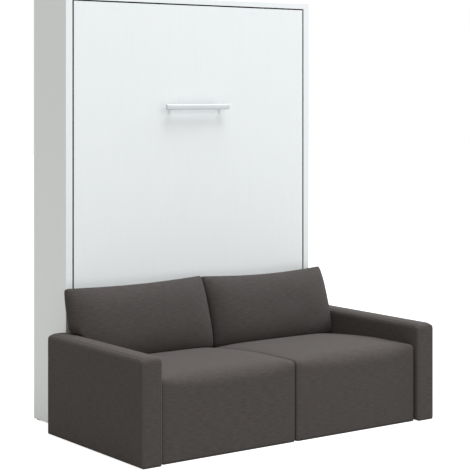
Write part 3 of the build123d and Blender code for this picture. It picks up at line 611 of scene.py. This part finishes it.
bright_zinc = worn_finish(
    "bright_zinc", (0.74, 0.74, 0.73), (0.66, 0.67, 0.67), 1.0, 0.22, 0.2, 400.0
)
cabinet_places = []
bracket_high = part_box("wall_brackets")[1]
angle_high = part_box("corner_angles")[1]
for hand, side in hands:
    x, y, z = side * (bracket_high.x - bracket_middle), bracket_high.y, bracket_high.z
    for shift in (-bracket_shift, bracket_shift):
        under = (x + shift, y - bracket_middle, z - bracket_sheet)
        behind = (x + shift, y - bracket_sheet, z - bracket_drop)
        cabinet_places += [(under, (0, 0, -1)), (behind, (0, -1, 0))]
    x, z = angle_high.x, angle_high.z
    for row in angle_rows:
        y = angle_high.y - row
        under = (side * (x - angle_reach), y, z - angle_sheet)
        beside = (side * (x - angle_sheet), y, z - angle_reach)
        cabinet_places += [(under, (0, 0, -1)), (beside, (-side, 0, 0))]
    for node, plate, inset in plate_screws:
        plate_low, plate_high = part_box(f"{node}_{hand}")
        face_x = side * (max(abs(plate_low.x), abs(plate_high.x)) - plate)
        for y in (plate_low.y + inset, plate_high.y - inset):
            for z in (plate_low.z + inset, plate_high.z - inset):
                cabinet_places.append(((face_x, y, z), (-side, 0, 0)))
screw_set("cabinet_screws", cabinet_places, "cabinet_and_sofa")

clip_low, clip_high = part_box("facade_clips")
clip_pitch = (clip_high.z - clip_low.z - 2 * clip_half) / (clip_rows - 1)
bed_places = []
for row in range(clip_rows):
    z = clip_low.z + clip_half + row * clip_pitch
    for side in (-1, 1):
        for shift in (-clip_shift, clip_shift):
            place = (side * (clip_high.x - clip_reaches[0]), clip_low.y + clip_sheet, z + shift)
            bed_places.append((place, (0, 1, 0)))
        place = (side * (clip_high.x - clip_sheet), clip_low.y + clip_reaches[1], z)
        bed_places.append((place, (-side, 0, 0)))
screw_set("bed_screws", bed_places, "folding_bed")


# Slats and wooden parts
# Steamed beech slats, laminated and bowed, with the grain along their length; birch plywood
# boxes carry the seats and fill the arms, under the covers.
wood_figure, figure_in, figure_out = new_effect(
    "wood_figure", {"Along": 0.25, "Across": 0.006}, ("Figure", "Pores")
)
axes = object_axes(wood_figure)
stretched = joined(
    wood_figure,
    {
        axis: calc(wood_figure, "DIVIDE", axes[axis], figure_in.outputs[size])
        for axis, size in (("X", "Along"), ("Y", "Across"), ("Z", "Across"))
    },
)
wood_figure.links.new(noise_at(wood_figure, stretched, 3.0, 0.55), figure_out.inputs["Figure"])
wood_figure.links.new(noise_at(wood_figure, stretched, 8.0, 0.75), figure_out.inputs["Pores"])


def wood_finish(name, pale, dark, along, across, roughness):
    """Oiled or bare wood with its figure along X."""
    finish, tree, shader = new_finish(name)
    figure = place_effect(tree, wood_figure, {"Along": along, "Across": across})
    tint(tree, figure.outputs["Figure"], (*dark, 1), (*pale, 1), shader.inputs["Base Color"])
    gloss(tree, figure.outputs["Pores"], 0.25, roughness, shader)
    relief(tree, figure.outputs["Pores"], 0.00012, shader)
    return finish


coat(
    wood_finish("steamed_beech", (0.62, 0.40, 0.22), (0.46, 0.27, 0.14), 0.22, 0.0045, 0.38),
    (*pair("slats"), "sofa_spacers"),
)
coat(
    wood_finish("birch_plywood", (0.60, 0.44, 0.27), (0.48, 0.33, 0.19), 0.30, 0.009, 0.55),
    (*pair("seat_base"), *pair("arm_core")),
)


# Covers of the arms
# Dark taupe woven cloth over wadding, sewn as a boxed cover with a seam beside each long edge
# and pulled down over the plywood box. The upper edges are the softest.
cloth_taupe = (0.0580, 0.0508, 0.0490)
cloth_taupe_light = (0.0820, 0.0717, 0.0693)
thread_pitch = 0.0024
slub_length = 0.022
slub_row = 0.0042
streak_length = 0.042
facing_limit = 0.7
thread_shade = 0.2
slub_shade = 0.3
streak_shade = 3.2
least_shade = 0.25
streak_relief = 1.6
slub_relief = 0.4
cloth_relief = 0.0004
arm_edge_round = 0.008
arm_side_roll = 0.028
arm_end_roll = 0.026
cover_hem_round = 0.012
cover_drop = 0.004
cover_step = 0.010
seam_inset = 0.013
seam_spread = 0.0016
seam_dip = 0.0007
seam_lines = (-1.6, -0.8, 0, 0.8, 1.6)
arm_crown = 0.003
lining_gap = 0.0012
face_margin = 1e-6

weave, weave_in, weave_out = new_effect(
    "plain_weave",
    {"Pitch": thread_pitch, "Slub": slub_length, "Row": slub_row, "Streak": streak_length},
    ("Shade", "Height"),
)
axes = object_axes(weave)
facing = weave.nodes.new("ShaderNodeNewGeometry")
facing_split = weave.nodes.new("ShaderNodeSeparateXYZ")
weave.links.new(facing.outputs["Normal"], facing_split.inputs[0])
sideways, upwards = [
    calc(weave, "GREATER_THAN", calc(weave, "ABSOLUTE", facing_split.outputs[axis]), facing_limit)
    for axis in "XZ"
]
weft_place = calc(
    weave, "MULTIPLY_ADD", sideways, calc(weave, "SUBTRACT", axes["Y"], axes["X"]), axes["X"]
)
warp_place = calc(
    weave, "MULTIPLY_ADD", upwards, calc(weave, "SUBTRACT", axes["Y"], axes["Z"]), axes["Z"]
)
turns = calc(weave, "DIVIDE", 2 * math.pi, weave_in.outputs["Pitch"])
over, under = [
    calc(weave, "SINE", calc(weave, "MULTIPLY", place, turns)) for place in (weft_place, warp_place)
]
crossing = calc(weave, "MULTIPLY_ADD", calc(weave, "MULTIPLY", over, under), 0.5, 0.5)


def thread_noise(along, row, detail, roughness):
    """Noise drawn out along the weft, from row to row of the warp."""
    place = {
        "X": calc(weave, "DIVIDE", weft_place, weave_in.outputs[along]),
        "Y": calc(weave, "DIVIDE", warp_place, weave_in.outputs[row]),
    }
    return noise_at(weave, joined(weave, place), detail, roughness)


slub = thread_noise("Slub", "Pitch", 2.0, 0.7)
streak = thread_noise("Streak", "Row", 3.0, 0.75)
threads = calc(
    weave, "MULTIPLY_ADD", crossing, thread_shade, calc(weave, "MULTIPLY", slub, slub_shade)
)
uneven = calc(
    weave, "MULTIPLY_ADD", calc(weave, "SUBTRACT", streak, 0.5), streak_shade, threads
)
raised_slub = calc(weave, "MULTIPLY_ADD", slub, slub_relief, crossing)
weave.links.new(calc(weave, "ADD", uneven, least_shade), weave_out.inputs["Shade"])
weave.links.new(
    calc(weave, "MULTIPLY_ADD", streak, streak_relief, raised_slub), weave_out.inputs["Height"]
)


def cloth_finish(name, shade_factor):
    """Woven upholstery cloth; a factor below 1 darkens a copy of it as painted shade."""
    finish, tree, shader = new_finish(name)
    shader.inputs["Roughness"].default_value = 0.9
    shader.inputs["Specular IOR Level"].default_value = 0.12
    shader.inputs["Sheen Weight"].default_value = 0.05
    shader.inputs["Sheen Roughness"].default_value = 0.30
    shader.inputs["Sheen Tint"].default_value = (0.92, 0.86, 0.84, 1)
    woven = place_effect(tree, weave, {"Pitch": thread_pitch, "Slub": slub_length})
    dark, light = [
        [part * shade_factor for part in colour] + [1] for colour in (cloth_taupe, cloth_taupe_light)
    ]
    tint(tree, woven.outputs["Shade"], dark, light, shader.inputs["Base Color"])
    relief(tree, woven.outputs["Height"], cloth_relief, shader)
    return finish


taupe_cloth = cloth_finish("taupe_cloth", 1.0)


def within(value, low, high):
    """How far a value is between two ends, from 0 to 1."""
    return min(1, max(0, (value - low) / (high - low)))


def grid_lines(low, high, step, seams=()):
    """Places of grid lines between two ends, evenly spaced, with more lines at each seam."""
    count = max(2, round((high - low) / step))
    lines = [low + (high - low) * i / count for i in range(count + 1)]
    extras = [seam + shift * seam_spread for seam in seams for shift in seam_lines]
    clear = step * 0.3
    lines = [p for p in lines if all(abs(p - e) > clear for e in extras) or p in (low, high)]
    return sorted(lines + [e for e in extras if low < e < high])


def sewn_block(name, low, high, step, shape, seams=(), open_below=False):
    """A skin of quads over a box, with grid lines at its seams, each point moved by a shape."""
    lines = [grid_lines(low[i], high[i], step, () if i else seams) for i in range(3)]
    counts = [len(axis_lines) - 1 for axis_lines in lines]
    places = {}
    points = []
    faces = []

    def corner(index):
        if index not in places:
            places[index] = len(points)
            points.append(shape([axis_lines[i] for axis_lines, i in zip(lines, index)]))
        return places[index]

    for axis in range(3):
        first, second = (axis + 1) % 3, (axis + 2) % 3
        for end in (0, counts[axis]):
            if open_below and axis == 2 and end == 0:
                continue
            for i in range(counts[first]):
                for j in range(counts[second]):
                    square = []
                    for di, dj in ((0, 0), (1, 0), (1, 1), (0, 1)):
                        index = [0, 0, 0]
                        index[axis], index[first], index[second] = end, i + di, j + dj
                        square.append(corner(tuple(index)))
                    faces.append(square if end else square[::-1])
    mesh = bpy.data.meshes.new(name)
    mesh.from_pydata(points, [], faces)
    for face in mesh.polygons:
        face.use_smooth = True
    return new_piece(name, mesh)


def rolled_corner(first, second, first_edge, second_edge, first_in, second_in, radius):
    """Two coordinates near a square corner, moved onto the corner rolled to a radius."""
    first_reach = 1 - (first - first_edge) * first_in / radius
    second_reach = 1 - (second - second_edge) * second_in / radius
    if first_reach <= 0 or second_reach <= 0:
        return first, second
    shrink = max(first_reach, second_reach) / math.hypot(first_reach, second_reach)
    return (
        first_edge + first_in * radius * (1 - first_reach * shrink),
        second_edge + second_in * radius * (1 - second_reach * shrink),
    )


def rolled_box(point, low, high, upright, side, front, rear, hem):
    """A point on a box, moved onto the box with its edges rolled to their own radii."""
    x, y, z = point
    for x_edge, x_in in ((low.x, 1), (high.x, -1)):
        for y_edge, y_in in ((low.y, 1), (high.y, -1)):
            x, y = rolled_corner(x, y, x_edge, y_edge, x_in, y_in, upright)
        x, z = rolled_corner(x, z, x_edge, high.z, x_in, -1, side)
        x, z = rolled_corner(x, z, x_edge, low.z, x_in, 1, hem)
    y, z = rolled_corner(y, z, low.y, high.z, 1, -1, front)
    y, z = rolled_corner(y, z, high.y, high.z, -1, -1, rear)
    return x, y, z


def seam_dent(place, seams):
    """How deep the cover is drawn in at a place across its seams."""
    return sum(seam_dip * math.exp(-(((place - seam) / seam_spread) ** 2)) for seam in seams)


def line_inside(piece, low, high):
    """Gives an open cover its inner skin, round the box that it is pulled over."""
    skin = bmesh.new()
    skin.from_mesh(piece.data)
    rim_edges = [edge for edge in skin.edges if edge.is_boundary]
    hem = bmesh.ops.extrude_edge_only(skin, edges=rim_edges)["geom"]
    hem_edges = [part for part in hem if isinstance(part, bmesh.types.BMEdge)]
    middle = [(a + b) / 2 for a, b in zip(low, high)]
    for vert in {vert for edge in hem_edges for vert in edge.verts}:
        share = max(abs(vert.co[i] - middle[i]) / ((high[i] - low[i]) / 2) for i in (0, 1))
        for i in (0, 1):
            vert.co[i] = middle[i] + (vert.co[i] - middle[i]) / share
    wall = bmesh.ops.extrude_edge_only(skin, edges=hem_edges)["geom"]
    wall_edges = [part for part in wall if isinstance(part, bmesh.types.BMEdge)]
    for vert in {vert for edge in wall_edges for vert in edge.verts}:
        vert.co.z = high[2]
    bmesh.ops.contextual_create(skin, geom=wall_edges)
    bmesh.ops.recalc_face_normals(skin, faces=skin.faces)
    skin.to_mesh(piece.data)
    skin.free()


for hand, side in hands:
    low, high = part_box(f"arm_cover_{hand}")
    low.z -= cover_drop
    seams = (low.x + seam_inset, high.x - seam_inset)

    def arm_shape(point):
        x, y, z = point
        across_share = within(x, low.x, high.x)
        dent = seam_dent(x, seams)
        if z >= high.z - face_margin:
            z += arm_crown * (math.sin(math.pi * across_share) - 1) - dent
        if y <= low.y + face_margin:
            y += dent
        if y >= high.y - face_margin:
            y -= dent
        rounds = (arm_edge_round, arm_side_roll, arm_end_roll, arm_end_roll, cover_hem_round)
        return rolled_box((x, y, z), low, high, *rounds)

    arm_cover = sewn_block(
        f"arm_cover_cloth_{hand}", low, high, cover_step, arm_shape, seams, open_below=True
    )
    core_low, core_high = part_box(f"arm_core_{hand}")
    margin = Vector((lining_gap, lining_gap, lining_gap))
    line_inside(arm_cover, core_low - margin, core_high + margin)
    arm_cover.data.materials.append(taupe_cloth)
    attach(arm_cover, "cabinet_and_sofa")
    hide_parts(f"arm_cover_{hand}")


# Seat cushions
# A foam block on webbing under a loose cover that falls to the floor. The top is crowned
# between the side seams, falls towards the back, and rolls softly over the front edge.
seat_rise_gap = 0.002
seat_crown = 0.015
seat_crown_power = 5.0
seat_fall = 0.050
seat_fall_start = 0.30
seat_fall_power = 1.6
seat_edge_round = 0.010
seat_arm_gap = 0.0025
seat_roll_middle = 0.066
seat_roll_end = 0.020
seat_roll_power = 4
seat_ease_power = 3
seat_corner_lift = 0.007
seat_corner_reach = 0.20
seat_side_seam = 0.012
seat_step = 0.013
seat_boxes = {hand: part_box(f"seat_cushion_{hand}") for hand, side in hands}


def seat_top(hand, x, y):
    """Height of a seat's upper side at a place."""
    low, high = seat_boxes[hand]
    across = within(x, low.x, high.x)
    back = within(y, low.y, high.y)
    crown = seat_crown * abs(2 * across - 1) ** seat_crown_power
    fall = seat_fall * max(0, (back - seat_fall_start) / (1 - seat_fall_start)) ** seat_fall_power
    lift = 0
    if hand == "left":
        lift = seat_corner_lift * max(0, 1 - across / seat_corner_reach) ** 2
    return high.z - seat_rise_gap - crown - fall + lift


for hand, side in hands:
    low, high = (corner.copy() for corner in seat_boxes[hand])
    low.z -= cover_drop
    if hand == "left":
        low.x += seat_arm_gap
    else:
        high.x -= seat_arm_gap
    edge_height = high.z - seat_rise_gap - seat_crown
    seams = (low.x + seat_side_seam, high.x - seat_side_seam)
    block_high = Vector((high.x, high.y, edge_height))

    def seat_shape(point):
        x, y, z = point
        outwards = abs(2 * within(x, low.x, high.x) - 1) ** seat_roll_power
        roll = seat_roll_middle + (seat_roll_end - seat_roll_middle) * outwards
        dent = seam_dent(x, seams)
        if z >= edge_height - face_margin:
            z -= dent
        if y <= low.y + face_margin:
            y += dent
        rounds = (seat_edge_round, seat_edge_round, roll, seat_edge_round, cover_hem_round)
        x, y, z = rolled_box((x, y, z), low, block_high, *rounds)
        ease = within(z, low.z, edge_height) ** seat_ease_power
        return (x, y, z + (seat_top(hand, x, y) - edge_height) * ease)

    seat_cover = sewn_block(
        f"seat_cover_cloth_{hand}", low, block_high, seat_step, seat_shape, seams, open_below=True
    )
    base_low, base_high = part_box(f"seat_base_{hand}")
    web_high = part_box(f"seat_webbing_{hand}")[1]
    margin = Vector((lining_gap, lining_gap, lining_gap))
    cavity_low = base_low - margin
    cavity_low.z = low.z
    cavity_high = Vector((base_high.x, base_high.y, web_high.z)) + margin
    line_inside(seat_cover, cavity_low, cavity_high)
    seat_cover.data.materials.append(taupe_cloth)
    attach(seat_cover, "cabinet_and_sofa")
    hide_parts(f"seat_cushion_{hand}")


# Back cushions
# Loose pillows of the same cloth, darkened a shade as painted shade, thick at the foot, that lean
# on the front.
# They rest on the seats and press on each other and on the arms. Their upper corners stand up.
cushion_length = 0.369
cushion_lean = math.radians(16.7)
cushion_foot_y = 0.1133
cushion_foot_z = 0.3637
cushion_front = 0.104
cushion_back = 0.098
cushion_top_share = 0.62
cushion_foot_share = 0.86
cushion_belly_share = 0.45
cushion_square = 3.8
cushion_end_power = 5.5
# The pillows' cloth is the seats' cloth darkened by this factor as painted shade.
cushion_painted_shade = 0.80
cushion_corner = 0.017
cushion_seam_half = 0.0016
cushion_sag = 0.028
cushion_corner_rise = 0.022
cushion_stations = 110
cushion_ring = 132
cushion_crowding = 0.55
cushion_top_power = 4
cushion_corner_power = 6
cushion_gap = 0.0009
cushion_press = 0.006
cushion_wrinkle = 0.0030
cushion_folds = (0.15, 0.10)
cushion_ends = {"left": (-0.8185, 0.003), "right": (-0.003, 0.803)}
cushion_dip = {"left": 0.013, "right": 0.019}
cushion_tilt = {"left": 0.004, "right": 0.0}
arm_shoulder = 0.006


def signed_power(value, power):
    """A power that keeps the value's sign."""
    return math.copysign(abs(value) ** power, value)


def pressed(value, wall, softness):
    """A value kept above a wall, with a soft start."""
    over = value - wall
    if over >= softness:
        return value
    if over <= -softness:
        return wall
    return wall + (over + softness) ** 2 / (4 * softness)


def arm_wall(z, arm_face, arm_top, reach):
    """How far out a pillow may go at a height, beside the arm and over its rolled top."""
    rise = z - arm_top + arm_side_roll
    bend = arm_side_roll + cushion_gap
    if rise <= 0:
        return arm_face
    if rise < bend:
        return arm_face + bend - math.sqrt(bend**2 - rise**2)
    over_share = min(1, (rise - bend) / arm_shoulder)
    return arm_face + bend + (reach + cushion_press - arm_face - bend) * over_share


def cushion_depth(across, up, share):
    """How far a pillow's skin stands before or behind its middle."""
    up_share = within(up, 0, cushion_length)
    belly = max(0, 1 - up_share / cushion_belly_share) ** 2
    full = cushion_front if across > 0 else cushion_back
    full *= 1 - (1 - cushion_top_share) * up_share**cushion_top_power
    full *= 1 - (1 - cushion_foot_share) * belly
    fullness = (1 - abs(share) ** cushion_end_power) ** 0.5
    forward = across * (cushion_seam_half + fullness * (full - cushion_seam_half))
    face_x = share * half_width
    fold = noise.noise(
        Vector((face_x / cushion_folds[0], up / cushion_folds[1], 3 * side + across))
    )
    return forward + cushion_wrinkle * fold * fullness * across


# A darker copy of the cloth for the pillows: painted shade.
shaded_taupe_cloth = cloth_finish("shaded_taupe_cloth", cushion_painted_shade)
facade_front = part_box("facade_panel")[0].y
for hand, side in hands:
    arm_low, arm_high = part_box(f"arm_cover_{hand}")
    arm_face = min(abs(arm_low.x), abs(arm_high.x)) - cushion_gap
    first_x, last_x = cushion_ends[hand]
    reach = max(abs(first_x), abs(last_x))
    half_width = (last_x - first_x) / 2
    points = []
    for station in range(cushion_stations + 1):
        even = 2 * station / cushion_stations - 1
        crowded = -math.cos(math.pi * station / cushion_stations)
        share = cushion_crowding * crowded + (1 - cushion_crowding) * even
        inward = (1 - abs(share)) * half_width
        drop = 0.0
        if inward < cushion_corner:
            drop = cushion_corner - math.sqrt(cushion_corner**2 - (cushion_corner - inward) ** 2)
        top = cushion_length - cushion_dip[hand] * (1 - share**2)
        top += cushion_tilt[hand] * share - drop
        bottom = -cushion_sag + cushion_corner_rise * abs(share) ** cushion_corner_power + drop
        for step in range(cushion_ring):
            angle = 2 * math.pi * step / cushion_ring
            up_part = signed_power(math.sin(angle), 2 / cushion_square)
            across = signed_power(math.cos(angle), 2 / cushion_square)
            up = bottom + (top - bottom) * (1 + up_part) / 2
            forward = cushion_depth(across, up, share)
            x = first_x + half_width * (1 + share)
            y = cushion_foot_y + up * math.sin(cushion_lean) - forward * math.cos(cushion_lean)
            z = cushion_foot_z + up * math.cos(cushion_lean) + forward * math.sin(cushion_lean)
            outer_wall = arm_wall(z, arm_face, arm_high.z, reach)
            out = -pressed(-side * x, -outer_wall, cushion_press)
            x = side * pressed(out, cushion_gap, cushion_press)
            y = -pressed(-y, cushion_gap - facade_front, cushion_press)
            z = pressed(z, seat_top(hand, x, y) + cushion_gap, cushion_press)
            points.append((x, y, z))
    faces = []
    count = cushion_ring
    for station in range(cushion_stations):
        base, after_base = station * count, (station + 1) * count
        for step in range(count):
            after = (step + 1) % count
            faces.append((base + step, base + after, after_base + after, after_base + step))
    for end in (0, cushion_stations):
        base = end * count
        for step in range(count // 2):
            front, back = count // 4 - step, count // 4 + step
            ring_face = [base + i % count for i in (front, front - 1, back + 1, back)]
            if front == back:
                ring_face = ring_face[:3]
            if (front - 1) % count == (back + 1) % count:
                ring_face = [ring_face[0], ring_face[1], ring_face[3]]
            faces.append(ring_face)
    mesh = bpy.data.meshes.new(f"back_pillow_{hand}")
    mesh.from_pydata(points, [], faces)
    skin = bmesh.new()
    skin.from_mesh(mesh)
    bmesh.ops.recalc_face_normals(skin, faces=skin.faces)
    skin.to_mesh(mesh)
    skin.free()
    for face in mesh.polygons:
        face.use_smooth = True
    pillow = new_piece(f"back_pillow_{hand}", mesh)
    mesh.materials.append(shaded_taupe_cloth)
    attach(pillow, f"{hand}_back_cushion")
    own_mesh(pillow)
    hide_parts(f"back_cushion_{hand}")


# Mattress
# A sprung mattress in a pale knitted ticking, quilted on both faces, with rolled edges. It lies
# on the slats and is held by two bands while the bed is up.
mattress_round = 0.030
mattress_corner = 0.060
mattress_step = 0.025
quilt_pitch = 0.16
quilt_depth = 0.006

low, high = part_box("mattress")
quilted_ticking, tree, shader = new_finish("quilted_ticking")
shader.inputs["Roughness"].default_value = 0.85
shader.inputs["Sheen Weight"].default_value = 0.2
knit = place_effect(tree, weave, {"Pitch": 0.0032, "Slub": 0.012})
ticking_shades = ((0.66, 0.65, 0.62, 1), (0.78, 0.77, 0.745, 1))
tint(tree, knit.outputs["Shade"], *ticking_shades, shader.inputs["Base Color"])
relief(tree, knit.outputs["Height"], 0.0005, shader)


def mattress_shape(point):
    """A point of the mattress's box, rolled at the edges and drawn in by the quilting."""
    x, y, z = point
    for x_edge, x_in in ((low.x, 1), (high.x, -1)):
        for z_edge, z_in in ((low.z, 1), (high.z, -1)):
            x, z = rolled_corner(x, z, x_edge, z_edge, x_in, z_in, mattress_corner)
    for y_edge, y_in in ((low.y, 1), (high.y, -1)):
        x_reach = min(x - low.x, high.x - x)
        z_reach = min(z - low.z, high.z - z)
        x_edge, x_in = (low.x, 1) if x < 0 else (high.x, -1)
        z_edge, z_in = (low.z, 1) if z < (low.z + high.z) / 2 else (high.z, -1)
        if x_reach < z_reach:
            x, y = rolled_corner(x, y, x_edge, y_edge, x_in, y_in, mattress_round)
        else:
            z, y = rolled_corner(z, y, z_edge, y_edge, z_in, y_in, mattress_round)
    if abs(point[1] - high.y) < face_margin or abs(point[1] - low.y) < face_margin:
        waves = [math.sin(math.pi * place / quilt_pitch) for place in (x + z, x - z)]
        dip = quilt_depth * (1 - abs(waves[0] * waves[1]) ** 0.5)
        y += -dip if point[1] > (low.y + high.y) / 2 else dip
    return (x, y, z)


mattress = sewn_block("mattress_ticking_body", low, high, mattress_step, mattress_shape)
mattress.data.materials.append(quilted_ticking)
smoother = mattress.modifiers.new("soft", "SUBSURF")
smoother.levels = 1
smoother.render_levels = 1
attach(mattress, "folding_bed")
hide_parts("mattress")


# Bands
# Flat black polypropylene webbing: two bands round the mattress, and rubber-cored webbing
# across each seat base, slack between its boards.
webbing_black, tree, shader = new_finish("webbing_black")
shader.inputs["Roughness"].default_value = 0.7
ribbed = place_effect(tree, weave, {"Pitch": 0.0030, "Slub": 0.010})
webbing_shades = ((0.016, 0.016, 0.017, 1), (0.030, 0.030, 0.032, 1))
tint(tree, ribbed.outputs["Shade"], *webbing_shades, shader.inputs["Base Color"])
relief(tree, ribbed.outputs["Height"], 0.0005, shader)
band_profile = ((-1.0, 0.4), (-0.95, 0.8), (-0.86, 1.0), (0.86, 1.0), (0.95, 0.8), (1.0, 0.4))
strap_width = 0.050
strap_thickness = 0.002
strap_round = 0.026
strap_bend_steps = 8
band_step = 0.020
web_width = 0.060
web_rows = 6
web_sag = 0.003
web_board = 0.018


def woven_band(skin, path, across, width, thickness):
    """A closed flat band of webbing along places, each with the way its outer side faces."""
    rings = []
    for place, outward in path:
        middle = Vector(place)
        away = Vector(outward)
        outer = [(across * (width / 2 * c), away * (thickness * t)) for c, t in band_profile]
        ring = [middle + beside + above for beside, above in outer]
        ring += [middle + beside for beside, above in reversed(outer)]
        rings.append([skin.verts.new(point) for point in ring])
    count = len(rings[0])
    for before, after in zip(rings, rings[1:]):
        for i in range(count):
            j = (i + 1) % count
            skin.faces.new((before[i], before[j], after[j], after[i]))
    skin.faces.new(rings[0])
    skin.faces.new(list(reversed(rings[-1])))


def band_piece(name, skin, body, node):
    """A piece of black webbing from its skin, on a body and in place of a CAD node."""
    bmesh.ops.recalc_face_normals(skin, faces=skin.faces)
    mesh = bpy.data.meshes.new(name)
    skin.to_mesh(mesh)
    skin.free()
    mesh.materials.append(webbing_black)
    piece = new_piece(name, mesh)
    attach(piece, body)
    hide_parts(node)


low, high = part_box("mattress_straps")
half = high.x - strap_thickness
face_y = high.y - strap_thickness
turn_y = face_y - strap_round
rise_steps = round((turn_y - low.y) / band_step)
flat_half = half - strap_round
flat_steps = round(2 * flat_half / band_step)
straps = bmesh.new()
for z in (low.z + strap_width / 2, high.z - strap_width / 2):
    run = []
    for step in range(rise_steps):
        y = low.y + (turn_y - low.y) * step / rise_steps
        run.append(((-half, y, z), (-1, 0, 0)))
    for step in range(strap_bend_steps + 1):
        angle = math.pi / 2 * step / strap_bend_steps
        away = (-math.cos(angle), math.sin(angle), 0)
        place = (away[0] * strap_round - flat_half, turn_y + away[1] * strap_round, z)
        run.append((place, away))
    other_side = [((-x, y, z), (-out_x, out_y, 0)) for (x, y, z), (out_x, out_y, _) in run[::-1]]
    for step in range(1, flat_steps):
        run.append((((-1 + 2 * step / flat_steps) * flat_half, face_y, z), (0, 1, 0)))
    woven_band(straps, run + other_side, Vector((0, 0, 1)), strap_width, strap_thickness)
band_piece("mattress_bands", straps, "folding_bed", "mattress_straps")

for hand, side in hands:
    low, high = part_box(f"seat_webbing_{hand}")
    web_pitch = (high.y - low.y - web_width) / (web_rows - 1)
    count = round((high.x - low.x) / band_step)
    webs = bmesh.new()
    for row in range(web_rows):
        y = low.y + web_width / 2 + row * web_pitch
        run = []
        for step in range(count + 1):
            x = low.x + (high.x - low.x) * step / count
            slack = math.sin(math.pi * within(x, low.x + web_board, high.x - web_board)) ** 2
            run.append(((x, y, low.z - web_sag * slack), (0, 0, 1)))
        woven_band(webs, run, Vector((0, 1, 0)), web_width, high.z - low.z)
    band_piece(f"seat_web_{hand}", webs, "cabinet_and_sofa", f"seat_webbing_{hand}")
